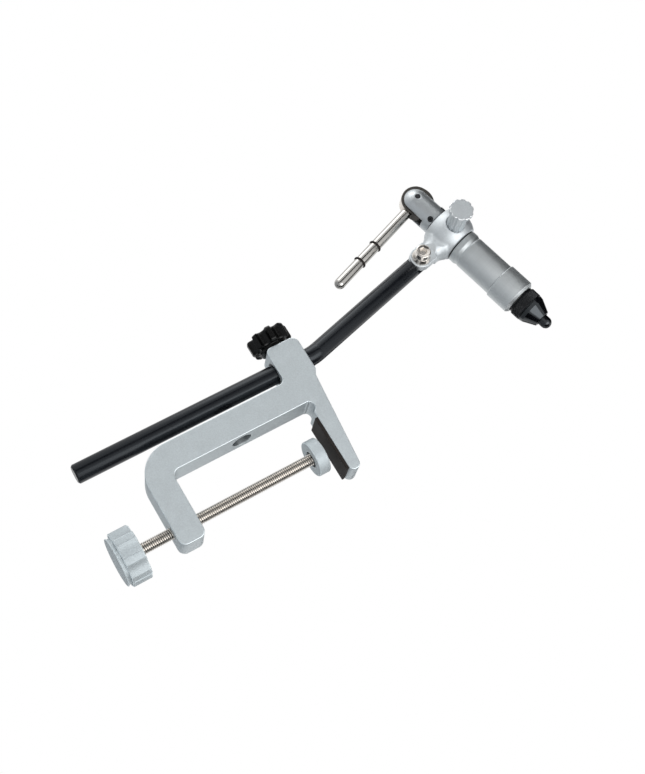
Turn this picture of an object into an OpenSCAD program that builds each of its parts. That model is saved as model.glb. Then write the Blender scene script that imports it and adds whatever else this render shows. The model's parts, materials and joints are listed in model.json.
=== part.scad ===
// Fly tying vise with a C clamp, a bent stem and a rotary head with a cam lever chuck.
// Origin: where the clamp screw's axis meets the table top, under the upper arm's pad.
// +Z is up along the clamp screw, +X is towards the clamp's open mouth.

/* [Clamp frame] */
// Thickness of the plate that the frame is cut from
plate_t = 16.5; // [15.5:0.5:24]
// Width of the frame's upright back
spine_w = 14.5; // [12:0.5:24]
// Distance from the clamp screw's axis to the inner side of the back
throat_depth = 24.7; // [18:0.1:60]
// Clear height between the two arms
throat_height = 75.7; // [50:0.1:110]
// Thickness of the lower arm
lower_arm_t = 13.4; // [10:0.2:20]
// Reach of the lower arm past the screw's axis
lower_arm_reach = 10.3; // [8:0.1:18]
// Thickness of the upper arm where it leaves the back
upper_arm_root_t = 11.1; // [9:0.1:12.4]
// Thickness of the upper arm at its end
upper_arm_tip_t = 6; // [5:0.1:8.6]
// Reach of the upper arm past the screw's axis
upper_arm_reach = 16.5; // [16.5:0.1:24]
// Radius of the big outer corner between back and lower arm
outer_corner_r = 17; // [6:1:20]
// Radius of the ends of the arms
arm_end_r = 3.8; // [1:0.1:3.8]
// Radius of the inner fillets
inner_fillet_r = 4; // [1:0.5:6]
// Radius of the relief in the corner beside the pad
relief_r = 3; // [2:0.5:4]
// Thickness of the rubber pad under the upper arm
pad_t = 1.5; // [1.2:0.1:4]
// Distance from the back of the frame to the pad
pad_setback = 9.2; // [8:0.1:14]
// Length of the pad
pad_l = 30; // [20:0.5:30]

/* [Stem block] */
// Height of the block that holds the stem
block_h = 17.7; // [16.5:0.1:30]
// How far the block reaches below the upper arm's underside
block_drop = 4.8; // [2:0.1:10]
// Wall outside the stem in the block
block_wall = 6.2; // [5.5:0.1:12]
// Gap between the stem and the frame's back
stem_gap = 3.3; // [2:0.1:10]
// Radius of the block's upper outer corner
block_corner_r = 4; // [2:0.5:6]
// Wall thickness of the sleeve round the stem
liner_t = 0.8; // [0.6:0.1:1.2]
// Height of the lock screw above the block's underside
lock_height = 6.8; // [4.5:0.1:8]
// Diameter of the bore across the frame's back
cross_bore_d = 10.2; // [6:0.2:13]
// Distance of the cross bore below the upper arm's underside
cross_bore_drop = 36.7; // [22:0.2:44]

/* [Clamp screw] */
// Diameter of the clamp screw
screw_d = 6; // [5:0.5:7]
// Pitch of the clamp screw's thread
screw_pitch = 1; // [0.8:0.05:1.25]
// Gap between the pad and the foot as drawn
foot_gap = 4.5; // [1:0.1:30]
// Diameter of the foot
foot_d = 18.5; // [16:0.5:26]
// Thickness of the foot
foot_t = 6.1; // [5.4:0.1:9]
// Length of bare screw between the lower arm and the knob
screw_tail = 16.6; // [6:0.1:40]
// Diameter of the clamp knob over its lobes
knob_d = 27.6; // [22:0.2:40]
// Length of the clamp knob's lobed part
knob_h = 10.1; // [7:0.1:16]
// Width of the groove between the lobes and the end flange
knob_groove_w = 1.2; // [0.5:0.1:2]
// Diameter of the knob's end flange
knob_flange_d = 24.6; // [18:0.1:27]
// Thickness of the knob's end flange
knob_flange_t = 1; // [1:0.1:4]
// Number of lobes on the clamp knob
knob_lobes = 8; // [6:1:12]

/* [Stem] */
// Diameter of the stem
stem_d = 10; // [9:0.2:12]
// Length of stem below the block
stem_tail = 110.4; // [40:0.2:150]
// Lean of the upper stem from upright
stem_lean = 14.5; // [5:0.5:35]
// Radius of the bend
bend_r = 30; // [15:1:60]
// Gap between the block's top and the start of the bend
bend_gap = 1.1; // [0.5:0.1:10]
// Length from the bend's corner to the tilt screw
upper_stem_l = 81.1; // [60:0.1:140]

/* [Lock knob] */
// Diameter of the lock knob over its lobes
lock_knob_d = 22.5; // [18:0.2:30]
// Thickness of the lock knob's lobed part
lock_knob_t = 8.3; // [6:0.1:12]
// Number of lobes on the lock knob
lock_knob_lobes = 8; // [5:1:10]
// Diameter of the lock knob's hub
lock_hub_d = 15; // [10:0.5:16]
// Length of the lock knob's hub
lock_hub_l = 1.8; // [1:0.1:5]
// Diameter of the lock screw
lock_screw_d = 5; // [4:0.5:6]

/* [Head] */
// Angle of the jaw axis above level as drawn
head_rise = 14; // [0:1:30]
// Radius of the ball body
ball_r = 13.4; // [12.8:0.1:16]
// Length of the ball body in front of its centre
ball_front = 8.6; // [7.5:0.1:9.2]
// Length of the ball body behind its centre
ball_rear = 8.9; // [7.5:0.1:9.2]
// Distance from the jaw axis to the tilt screw
ear_l = 24.5; // [24:0.5:34]
// Distance of the tilt screw ahead of the ball's centre, along the jaw axis
ear_at = 0.7; // [0:0.1:1.5]
// Thickness of the ear
ear_t = 4.5; // [3.5:0.1:5]
// Radius of the ear's round end
ear_r = 6; // [5.4:0.1:6.4]
// Radius of the neck between ear and ball
neck_r = 6.3; // [6:0.1:7]
// How much wider the neck is where it meets the ball
neck_flare = 1.9; // [0.5:0.1:2]
// Radius of the flat round the tilt screw
spot_r = 7.7; // [7.5:0.1:9.5]
// Diameter of the tilt screw
tilt_screw_d = 5; // [4:0.5:6]
// Diameter of the tilt screw's head
tilt_head_d = 8; // [7.6:0.1:9]
// Height of the tilt screw's head
tilt_head_h = 4; // [3.5:0.1:6]
// Diameter of the cone washer's wide side
cone_washer_d = 9.9; // [9.2:0.1:10.4]
// Height of the cone washer
cone_washer_h = 2.6; // [1:0.1:4]

/* [Thumb screw] */
// Radius of the recess round the thumb knob
thumb_recess_r = 5.5; // [5:0.1:6.5]
// Distance of the recess's floor from the jaw axis
thumb_floor = 11; // [10.4:0.1:12]
// Diameter of the thumb knob's head
thumb_knob_d = 13; // [10:0.2:16]
// Thickness of the thumb knob's head
thumb_head_l = 2.6; // [2:0.1:6]
// Diameter of the thumb knob's shank
thumb_shank_d = 9.6; // [7:0.1:9.8]
// Length of the thumb knob's shank, with its flare
thumb_shank_l = 12.9; // [8:0.1:16]
// Number of scallops on the thumb knob
thumb_scallops = 10; // [8:1:16]
// Diameter of the thumb screw
thumb_screw_d = 5; // [4:0.5:5]

/* [Spindle and barrel] */
// Outer diameter of the spindle
spindle_d = 12; // [11:0.2:12.4]
// Wall of the spindle
spindle_wall = 1.3; // [1:0.1:1.5]
// Wall of the two bushings
bushing_wall = 1.2; // [0.8:0.1:1.6]
// Length of each bushing
bushing_l = 5; // [3:0.1:5.5]
// Thickness of the washer in front of the ball
front_washer_t = 0.6; // [0.4:0.1:1.5]
// Thickness of the washer behind the ball
rear_washer_t = 0.4; // [0.3:0.1:1]
// Diameter of the barrel's rear collar
collar_d = 19.4; // [17:0.1:19.8]
// Length of the barrel's rear collar
collar_l = 3; // [2:0.1:6]
// Diameter of the barrel's tube
tube_d = 18.7; // [16.5:0.1:19.2]
// Length of the barrel from its rear face to the front ring
tube_l = 27.9; // [20:0.1:45]
// Diameter of the barrel's front ring
ring_d = 20.2; // [19:0.1:24]
// Length of the barrel's front ring
ring_l = 14.6; // [8:0.1:20]
// Chamfer at the front of the barrel's front ring
ring_chamfer = 1.3; // [0.4:0.1:2]

/* [Chuck] */
// Diameter of the knurled collar
knurl_d = 17; // [16.6:0.1:19]
// Length of the knurled collar's wide part
knurl_l = 5.5; // [4:0.1:9]
// Length of the collar's neck
collar_neck_l = 1.1; // [1:0.1:4]
// Diameter of the collar's neck
collar_neck_d = 15.8; // [14.6:0.1:16.4]
// Length of the nose's shoulder
nose_shoulder_l = 2.1; // [1:0.1:3]
// Length of the nose's cone
nose_cone_l = 6.8; // [5:0.1:10]
// Diameter of the nose's front rim
nose_tip_d = 9.3; // [9.2:0.1:11]
// Diameter of the closed jaws where they leave the nose
jaw_d = 6.4; // [4.5:0.1:6.8]
// Length of jaw in front of the nose
jaw_out = 5.7; // [4:0.1:12]
// Angle that each jaw opens
jaw_open = 0.6; // [0.4:0.1:0.8]

/* [Cam lever] */
// Diameter of the cam housing
cam_house_d = 16.9; // [15:0.1:17.4]
// Distance from the ball's rear face to the cam's pin
cam_reach = 16.3; // [15.9:0.1:24]
// Width of the slot for the cam
cam_slot_w = 6.6; // [6.4:0.1:7.4]
// Largest radius of the cam
cam_r = 10.4; // [9.8:0.1:11]
// Smallest radius of the cam, beside the lever
cam_heel_r = 8.3; // [8:0.1:8.6]
// How far the cam moves the push rod
cam_throw = 1.2; // [1:0.1:1.5]
// Angle that the lever turns to open the jaws
lever_turn = 100; // [80:5:110]
// Diameter of the cam's pin
cam_pin_d = 3; // [2:0.1:3.6]
// Diameter of the lever
lever_d = 6; // [4.6:0.1:6]
// Length of the lever from the pin to its tip
lever_l = 69.2; // [40:0.2:90]
// Forward slant of the lever as drawn
lever_slant = 6; // [0:1:12]
// Distance from the pin to the first ring on the lever
grip_ring_at = 36; // [20:0.1:37]
// Distance between the two rings on the lever
grip_ring_gap = 13.2; // [6:0.1:16]
// Diameter of the set screws
set_screw_d = 3; // [2:0.1:3]

/* [Hidden] */
$fn = 96;

// Clearances
run_fit = 0.05;     // radial, shaft turning or sliding in its bore
seat_fit = 0.02;    // radial, piece fixed in its seat
face_gap = 0.05;    // between flat faces that lie on each other
move_gap = 0.3;     // between pieces that pass each other
over = 1;           // how far a cut runs past a face

// Clamp frame
arm_under = pad_t;
lower_top = arm_under - throat_height;
lower_bottom = lower_top - lower_arm_t;
spine_in = -throat_depth;
spine_out = spine_in - spine_w;
stem_x = spine_out - stem_gap - stem_d / 2;
block_out = stem_x - stem_d / 2 - block_wall;
block_bottom = arm_under - block_drop;
block_top = block_bottom + block_h;
arm_root_top = arm_under + upper_arm_root_t;
arm_tip_top = arm_under + upper_arm_tip_t;
block_step = min(3, stem_gap - 0.4);
liner_in = stem_d / 2 + run_fit;
liner_out = liner_in + liner_t;
liner_rib_z = block_bottom + lock_height + lock_screw_d / 2 + 3;
liner_rib_h = 2;
liner_rib_t = 0.5;
lock_z = block_bottom + lock_height;
cross_bore_z = arm_under - cross_bore_drop;

// Clamp screw and foot
foot_top = -foot_gap;
foot_bottom = foot_top - foot_t;
knob_top = lower_bottom - screw_tail;
knob_bottom = knob_top - knob_h;
thread_depth = 0.55 * screw_pitch;
screw_head_r = screw_d / 2 + 0.9;
screw_neck_r = screw_d / 2 - 0.7;
foot_pocket_r = screw_head_r + 0.4;
foot_roof = 1.7;
screw_head_top = foot_top - foot_roof - 0.1;
screw_head_h = 2.1;
screw_neck_h = 1.2;
clip_t = 0.6;
clip_z = screw_head_top - screw_head_h - (screw_neck_h + clip_t) / 2;

// Stem
bend_z = block_top + bend_gap;
bend_corner_z = bend_z + bend_r * tan(stem_lean / 2);
tilt_x = stem_x - upper_stem_l * sin(stem_lean);
tilt_z = bend_corner_z + upper_stem_l * cos(stem_lean);
lap_shoulder = ear_r + move_gap + 0.1;
lap_end_r = 0.53 * stem_d;
bend_lap = 0.4;     // how far the straight lengths run into the bend

// Lock screw
lock_pitch = 0.8;
lock_tip_l = 2.2;
lock_tip_x = stem_x - liner_out - 2 * face_gap;
lock_knob_x = block_out - 0.2;

// Head, in its own frame: x along the jaw axis, z up from it, centre of the ball at zero
ball_x = tilt_x - ear_l * sin(head_rise) - ear_at * cos(head_rise);
ball_z = tilt_z + ear_l * cos(head_rise) - ear_at * sin(head_rise);
spindle_r = spindle_d / 2;
bushing_r = spindle_r + run_fit + bushing_wall;
friction_washer_t = 0.4;
ear_back = -friction_washer_t - 3 * face_gap;
ear_front = ear_back - ear_t;
cone_washer_y = ear_front - face_gap;
tilt_head_y = cone_washer_y - cone_washer_h - face_gap;
stem_clear_r = ear_r + 2.3;   // round the stem's end, behind the ear
ear_straight = 5;
spot_run = 2.6;     // how far the slope round the flat reaches, and how high it rises
spot_rise = 1.75;
thumb_at = 1;
thumb_gap = 0.6;
thumb_knob_y = -thumb_floor - thumb_gap;
thumb_head_y = thumb_knob_y - thumb_shank_l;
thumb_flare = 1.6;
thumb_end = thumb_head_y - thumb_head_l;
plug_l = 3;
plug_y = -spindle_r - 0.15;

// Stations along the jaw axis
barrel_rear = ball_front + front_washer_t + 2 * face_gap;
ring_rear = barrel_rear + tube_l + face_gap;
ring_front = ring_rear + ring_l;
collar_rear = ring_front + 0.3;
knurl_rear = collar_rear + collar_neck_l;
knurl_front = knurl_rear + knurl_l;
nose_rear = knurl_front + 0.2;
cone_rear = nose_rear + nose_shoulder_l;
nose_front = cone_rear + nose_cone_l;
jaw_tip = nose_front + jaw_out;
house_front = -ball_rear - rear_washer_t - 2 * face_gap;
pin_at = -ball_rear - cam_reach;
rod_guide_l = 0.9;
slot_end = pin_at + cam_r + move_gap;
spindle_rear = slot_end + rod_guide_l;

// Chuck
spindle_in_r = spindle_r - spindle_wall;
spindle_front = cone_rear - 1.5;
tail_r = spindle_r + run_fit + 1.15;
jaw_pivot = 28.2;
nose_hole_r = jaw_d / 2 + (nose_front - jaw_pivot) * tan(jaw_open) + 0.1;
seat_front = nose_front - 1.5;
seat_rear = cone_rear + 0.9;
seat_big_r = spindle_r + run_fit;
seat_slope = (seat_big_r - nose_hole_r) / (seat_front - seat_rear);
jaw_pivot_y = 2.2;
jaw_cut = 0.05;
jaw_head_rear = spindle_front + cam_throw + move_gap;
jaw_head_front = seat_front - 0.4;
jaw_leg_r = spindle_in_r - 0.7;
seat_gap = 0.14;
cam_low_r = cam_r - cam_throw;
cam_back = [130, 340];      // angles where the cam leaves its low radius and regains its full one
cam_heel = [200, 290];      // angles between which it keeps its heel's radius
rod_r = 2.5;
rod_rear = pin_at + cam_r + 2 * face_gap;
rod_flange = [-6, -4.5];
web = [10, 14];
spring_wire = 0.9;
spring_turns = 7;

// One corner of an outline, rounded: p is the corner, a and b its neighbours
function unit(v) = v / norm(v);
function corner_half(p, a, b) = acos(unit(a - p) * unit(b - p)) / 2;
function corner_run(p, a, b, r) = r / tan(corner_half(p, a, b));
function corner_centre(p, a, b, r) =
    p + unit(unit(a - p) + unit(b - p)) * r / sin(corner_half(p, a, b));

module corner_piece(p, a, b, r) {
    run = corner_run(p, a, b, r);
    c = corner_centre(p, a, b, r);
    difference() {
        polygon([p, p + unit(a - p) * run, c, p + unit(b - p) * run]);
        translate(c) circle(r);
    }
}

// Places a piece that is drawn in the head's own frame
module in_head() {
    translate([ball_x, 0, ball_z]) rotate([0, -head_rise, 0]) children();
}

// A turned piece on the jaw axis, from points given as radius and station
module turned(points) {
    in_head() rotate([0, 90, 0]) rotate_extrude() polygon(points);
}

// A cylinder on a line parallel to Y, from y0 to y1
module across(y0, y1, r) {
    translate([0, y0, 0]) rotate([-90, 0, 0]) cylinder(h = y1 - y0, r = r);
}

// Points of a ring thread: a saw edge between two heights
function saw(z0, z1, r, depth, pitch) = [
    for (i = [0 : floor((z1 - z0) / pitch) - 1])
        for (q = [[r - depth, 0.1], [r, 0.4], [r, 0.6], [r - depth, 0.9]])
            [q[0], z0 + (i + q[1]) * pitch]];

// Clamp frame

module frame_outline() {
    a = [spine_out, lower_bottom];
    b = [lower_arm_reach, lower_bottom];
    c = [lower_arm_reach, lower_top];
    d = [spine_in, lower_top];
    e = [spine_in, arm_under];
    f = [upper_arm_reach, arm_under];
    g = [upper_arm_reach, arm_tip_top];
    h = [spine_out + block_step + 1, arm_root_top];
    i = [spine_out + 0.7, block_top];
    j = [block_out, block_top];
    k = [block_out, block_bottom];
    l = [spine_out, block_bottom];
    difference() {
        polygon([a, b, c, d, e, f, g, h, i, j, k, l]);
        corner_piece(a, l, b, outer_corner_r);
        corner_piece(b, a, c, arm_end_r);
        corner_piece(c, b, d, arm_end_r);
        corner_piece(f, e, g, arm_end_r * 0.8);
        corner_piece(g, f, h, arm_end_r * 0.8);
        corner_piece(j, i, k, block_corner_r);
        corner_piece(k, j, l, block_corner_r * 0.75);
        translate([spine_in + relief_r, arm_under - relief_r * 0.37]) circle(relief_r);
    }
    corner_piece(d, c, e, inner_fillet_r);
    corner_piece(l, k, a, min(inner_fillet_r * 0.86, stem_gap - 0.2));
}

module clamp_frame() {
    color([0.75, 0.78, 0.79]) difference() {
        translate([0, plate_t / 2, 0]) rotate([90, 0, 0]) linear_extrude(plate_t) frame_outline();
        translate([0, 0, lower_bottom - over])
            cylinder(h = lower_arm_t + 2 * over, r = screw_d / 2 + run_fit);
        translate([stem_x, 0, block_bottom - over])
            cylinder(h = block_h + 2 * over, r = liner_out + run_fit);
        translate([stem_x, 0, liner_rib_z - run_fit])
            cylinder(h = liner_rib_h + 2 * run_fit, r = liner_out + liner_rib_t + run_fit);
        translate([block_out - over, 0, lock_z]) rotate([0, 90, 0])
            cylinder(h = stem_x - block_out, r = lock_screw_d / 2 + run_fit);
        translate([spine_out - over, 0, cross_bore_z]) rotate([0, 90, 0])
            cylinder(h = spine_w + 2 * over, r = cross_bore_d / 2);
    }
}

module jaw_pad() {
    pad_x = spine_in + pad_setback;
    color([0.12, 0.11, 0.11])
        translate([pad_x, -plate_t / 2, 0])
            cube([pad_l, plate_t, pad_t]);
}

// Clamp screw, foot and knob

module clamp_foot() {
    color([0.75, 0.78, 0.79]) difference() {
        translate([0, 0, foot_bottom]) cylinder(h = foot_t, d = foot_d);
        translate([0, 0, foot_bottom - over])
            cylinder(h = foot_t - foot_roof + over, r = foot_pocket_r);
        translate([0, 0, clip_z - seat_fit])
            cylinder(h = clip_t + 2 * seat_fit, r = foot_pocket_r + 0.4);
    }
}

module foot_clip() {
    color([0.25, 0.25, 0.26]) translate([0, 0, clip_z]) difference() {
        cylinder(h = clip_t, r = foot_pocket_r + 0.4 - seat_fit);
        translate([0, 0, -over]) cylinder(h = clip_t + 2 * over, r = screw_neck_r + 0.1);
        translate([0, -0.8, -over]) cube([2 * foot_pocket_r, 1.6, clip_t + 2 * over]);
    }
}

module clamp_screw() {
    r = screw_d / 2;
    thread_top = screw_head_top - screw_head_h - screw_neck_h;
    color([0.72, 0.69, 0.64]) rotate_extrude() polygon(concat(
        [[0, knob_bottom + 1], [r - thread_depth, knob_bottom + 1]],
        saw(knob_bottom + 1, thread_top - 0.4, r, thread_depth, screw_pitch),
        [[r - thread_depth, thread_top - 0.2], [r - thread_depth, thread_top],
         [screw_neck_r, thread_top], [screw_neck_r, thread_top + screw_neck_h],
         [screw_head_r, thread_top + screw_neck_h], [screw_head_r, screw_head_top - 0.4],
         [screw_head_r - 0.4, screw_head_top], [0, screw_head_top]]));
}

module clamp_knob() {
    flute_r = knob_d * 0.16;
    flute_out = knob_d / 2 + flute_r - knob_d * 0.045;
    color([0.75, 0.78, 0.79]) difference() {
        union() {
            translate([0, 0, knob_bottom]) difference() {
                cylinder(h = knob_h, d = knob_d);
                for (i = [0 : knob_lobes - 1])
                    rotate(i * 360 / knob_lobes) translate([flute_out, 0, -over])
                        cylinder(h = knob_h + 2 * over, r = flute_r);
            }
            translate([0, 0, knob_bottom - knob_groove_w - 0.1])
                cylinder(h = knob_groove_w + 0.2, d = knob_flange_d - 1);
            translate([0, 0, knob_bottom - knob_groove_w - knob_flange_t])
                cylinder(h = knob_flange_t, d = knob_flange_d);
        }
        translate([0, 0, knob_bottom + 1]) cylinder(h = knob_h, r = screw_d / 2 + seat_fit);
    }
}

// Stem and its sleeve

module stem_liner() {
    color([0.1, 0.1, 0.11]) difference() {
        union() {
            translate([stem_x, 0, block_bottom + 0.4])
                cylinder(h = block_h - 0.8, r = liner_out);
            translate([stem_x, 0, liner_rib_z])
                cylinder(h = liner_rib_h, r = liner_out + liner_rib_t);
        }
        translate([stem_x, 0, block_bottom - over]) cylinder(h = block_h + 2 * over, r = liner_in);
        translate([stem_x, -0.4, block_bottom - over])
            cube([2 * liner_out, 0.8, block_h + 2 * over]);
    }
}

module stem() {
    r = stem_d / 2;
    tail_z = block_bottom - stem_tail;
    straight = upper_stem_l - bend_r * tan(stem_lean / 2);
    color([0.09, 0.1, 0.11]) difference() {
        union() {
            translate([stem_x, 0, 0]) rotate_extrude()
                polygon([[0, tail_z], [r - 0.8, tail_z], [r, tail_z + 0.8],
                    [r, bend_z + bend_lap], [0, bend_z + bend_lap]]);
            translate([stem_x - bend_r, 0, bend_z]) rotate([90, 0, 0])
                rotate_extrude(angle = stem_lean) translate([bend_r, 0]) circle(r + seat_fit);
            translate([tilt_x, 0, tilt_z]) rotate([0, -stem_lean, 0]) difference() {
                translate([0, 0, -straight - bend_lap]) cylinder(h = straight + bend_lap + r, r = r);
                translate([-2 * r, -2 * r, -lap_shoulder]) cube([4 * r, 2 * r, 4 * r]);
                translate([0, 0, r - lap_end_r]) difference() {
                    translate([-2 * r, -2 * r, 0]) cube([4 * r, 4 * r, 2 * r]);
                    across(-3 * r, 3 * r, lap_end_r);
                }
            }
        }
        translate([tilt_x, 0, tilt_z]) across(-over, r + over, tilt_screw_d / 2 + seat_fit);
    }
}

// Lock knob on the stem block

module stem_lock_tip() {
    color([0.78, 0.6, 0.3]) translate([lock_tip_x - lock_tip_l, 0, lock_z]) rotate([0, 90, 0])
        cylinder(h = lock_tip_l, r = lock_screw_d / 2);
}

module lock_stud() {
    end_x = lock_tip_x - lock_tip_l - face_gap;
    start_x = lock_knob_x - lock_hub_l - lock_knob_t + 2;
    color([0.7, 0.7, 0.7]) translate([start_x, 0, lock_z]) rotate([0, 90, 0])
        cylinder(h = end_x - start_x, r = lock_screw_d / 2);
}

module lock_knob() {
    lobe_r = lock_knob_d / lock_knob_lobes;
    lobe_out = lock_knob_d / 2 + lobe_r * 0.4;
    color([0.06, 0.06, 0.07]) translate([lock_knob_x, 0, lock_z]) rotate([0, -90, 0])
        difference() {
            union() {
                cylinder(h = lock_hub_l + 0.1, d = lock_hub_d);
                translate([0, 0, lock_hub_l]) difference() {
                    cylinder(h = lock_knob_t, d = lock_knob_d);
                    for (i = [0 : lock_knob_lobes - 1])
                        rotate(i * 360 / lock_knob_lobes + 21) translate([lobe_out, 0, -over])
                            cylinder(h = lock_knob_t + 2 * over, r = lobe_r);
                }
            }
            translate([0, 0, -over])
                cylinder(h = lock_hub_l + lock_knob_t - 1.9 + over, r = lock_screw_d / 2 + seat_fit);
        }
}

// Head housing: ball, neck, ear and boss

// The neck, a turned form on the ear's centre line that widens into the ball
module neck_solid() {
    foot = -ear_l + ear_straight;
    top_r = neck_r + neck_flare;
    top = -sqrt(ball_r * ball_r - top_r * top_r) - move_gap;
    knee = [neck_r + neck_flare / 4, (top - ball_r) / 2 - move_gap];
    rotate_extrude() polygon([[0, foot], [neck_r, foot], [neck_r, -ball_r - 1], knee, [top_r, top],
        [top_r, top / 2], [0, top / 2]]);
}

// The flat round the tilt screw, with a slope that climbs to the ball, drawn as what is cut away
module spot_face() {
    rotate([90, 0, 0]) rotate_extrude() polygon([[0, -ear_front], [spot_r, -ear_front],
        [spot_r + spot_run, -ear_front + spot_rise], [spot_r + spot_run, 2 * ball_r], [0, 2 * ball_r]]);
}

module ear_solid() {
    translate([0, 0, -ear_l]) {
        across(ear_front, ear_back, ear_r);
        translate([-ear_r, ear_front, 0]) cube([2 * ear_r, ear_t, ear_straight + 1]);
    }
    difference() {
        neck_solid();
        translate([0, 0, -ear_l]) {
            spot_face();
            across(ear_back, 2 * ball_r, stem_clear_r);
        }
    }
}

module head_housing() {
    color([0.78, 0.81, 0.83]) in_head() difference() {
        intersection() {
            union() {
                sphere(r = ball_r);
                translate([ear_at, 0, 0]) ear_solid();
            }
            translate([-ball_rear, -2 * ball_r, -2 * ear_l])
                cube([ball_rear + ball_front, 4 * ball_r, 4 * ear_l]);
        }
        translate([-ball_rear - over, 0, 0]) rotate([0, 90, 0])
            cylinder(h = ball_rear + ball_front + 2 * over, r = bushing_r + seat_fit);
        translate([thumb_at, 0, 0]) {
            across(-ball_r - over, 0, thumb_screw_d / 2 + run_fit);
            across(-ball_r - over, -thumb_floor, thumb_recess_r);
        }
        translate([ear_at, 0, -ear_l])
            across(-2 * ball_r, 2 * ball_r, tilt_screw_d / 2 + run_fit);
    }
}

module bushing(rear) {
    color([0.75, 0.58, 0.32]) turned([[spindle_r + run_fit, rear], [bushing_r, rear],
        [bushing_r, rear + bushing_l], [spindle_r + run_fit, rear + bushing_l]]);
}

module front_bushing() { bushing(ball_front - bushing_l); }

module rear_bushing() { bushing(-ball_rear); }

// Tilt screw and its washers

module at_tilt() {
    translate([tilt_x, 0, tilt_z]) children();
}

module tilt_screw() {
    color([0.75, 0.73, 0.7]) at_tilt() difference() {
        union() {
            across(tilt_head_y - tilt_head_h, tilt_head_y, tilt_head_d / 2);
            across(tilt_head_y - 0.1, stem_d / 2 - 0.2, tilt_screw_d / 2);
        }
        translate([0, tilt_head_y - tilt_head_h - over, 0]) rotate([-90, 0, 0])
            cylinder(h = tilt_head_h / 2 + over, d = tilt_head_d * 0.56, $fn = 6);
    }
}

module tilt_cone_washer() {
    color([0.72, 0.7, 0.66]) at_tilt() rotate([90, 0, 0]) translate([0, 0, -cone_washer_y])
        rotate_extrude() polygon([[tilt_screw_d / 2 + run_fit, 0], [cone_washer_d / 2, 0],
            [cone_washer_d / 2, 0.5], [tilt_head_d / 2 + 0.1, cone_washer_h],
            [tilt_screw_d / 2 + run_fit, cone_washer_h]]);
}

module tilt_friction_washer() {
    color([0.1, 0.1, 0.1]) at_tilt() difference() {
        across(ear_back + face_gap, ear_back + face_gap + friction_washer_t, ear_r - 0.6);
        across(-2 * ear_t, ear_t, tilt_screw_d / 2 + run_fit);
    }
}

// Thumb screw that brakes the spindle

module at_thumb() {
    in_head() translate([thumb_at, 0, 0]) children();
}

module friction_plug() {
    color([0.9, 0.9, 0.85]) at_thumb() across(plug_y - plug_l, plug_y, thumb_screw_d / 2);
}

module thumb_stud() {
    color([0.7, 0.7, 0.7]) at_thumb()
        across(thumb_head_y, plug_y - plug_l - face_gap, thumb_screw_d / 2);
}

module thumb_knob() {
    scallop_r = thumb_knob_d * PI / thumb_scallops * 0.3;
    shank_r = thumb_shank_d / 2;
    color([0.72, 0.75, 0.77]) at_thumb() difference() {
        translate([0, thumb_knob_y, 0]) rotate([90, 0, 0]) rotate_extrude() polygon([
            [0, 0], [shank_r, 0], [shank_r, thumb_shank_l - thumb_flare],
            [thumb_knob_d / 2 - 0.4, thumb_shank_l], [thumb_knob_d / 2, thumb_shank_l + 0.4],
            [thumb_knob_d / 2, thumb_shank_l + thumb_head_l], [0, thumb_shank_l + thumb_head_l]]);
        across(thumb_head_y - 0.1, thumb_knob_y + over, thumb_screw_d / 2 + seat_fit);
        for (i = [0 : thumb_scallops - 1]) rotate([0, i * 360 / thumb_scallops, 0]) {
            translate([thumb_knob_d / 2 + scallop_r * 0.55, 0, 0])
                across(thumb_end - over, thumb_knob_y + over, scallop_r);
            translate([shank_r + 0.6, 0, 0])
                across(thumb_head_y + thumb_flare + 0.7, thumb_knob_y + over, 1);
        }
    }
}

// Spindle, washers and barrel

module spindle() {
    color([0.6, 0.6, 0.62]) turned([
        [spindle_in_r, spindle_rear], [spindle_r, spindle_rear], [spindle_r, spindle_front],
        [spindle_in_r, spindle_front], [spindle_in_r, web[1]], [rod_r + run_fit, web[1]],
        [rod_r + run_fit, web[0]], [spindle_in_r, web[0]]]);
}

module front_washer() {
    r = collar_d / 2 - 0.4;
    color([0.08, 0.08, 0.08]) turned([[spindle_r + seat_fit, ball_front + face_gap],
        [r, ball_front + face_gap], [r, ball_front + face_gap + front_washer_t],
        [spindle_r + seat_fit, ball_front + face_gap + front_washer_t]]);
}

module rear_washer() {
    r = cam_house_d / 2;
    front = -ball_rear - face_gap;
    color([0.08, 0.08, 0.08]) turned([[spindle_r + seat_fit, front - rear_washer_t],
        [r, front - rear_washer_t], [r, front], [spindle_r + seat_fit, front]]);
}

module barrel_sleeve() {
    r = tube_d / 2;
    in_r = spindle_r + seat_fit;
    groove = barrel_rear + collar_l;
    color([0.7, 0.73, 0.74]) turned([[in_r, barrel_rear], [collar_d / 2 - 0.3, barrel_rear],
        [collar_d / 2, barrel_rear + 0.3], [collar_d / 2, groove], [r - 0.35, groove + 1.9],
        [r, groove + 2.5], [r, barrel_rear + tube_l], [in_r, barrel_rear + tube_l]]);
}

module barrel_front_ring() {
    r = ring_d / 2;
    in_r = spindle_r + seat_fit;
    color([0.72, 0.75, 0.76]) turned([[in_r, ring_rear], [r - 0.35, ring_rear],
        [r, ring_rear + 0.35], [r, ring_front - ring_chamfer], [r - ring_chamfer, ring_front],
        [in_r, ring_front]]);
}

// Cam housing with its pin and set screws

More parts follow.
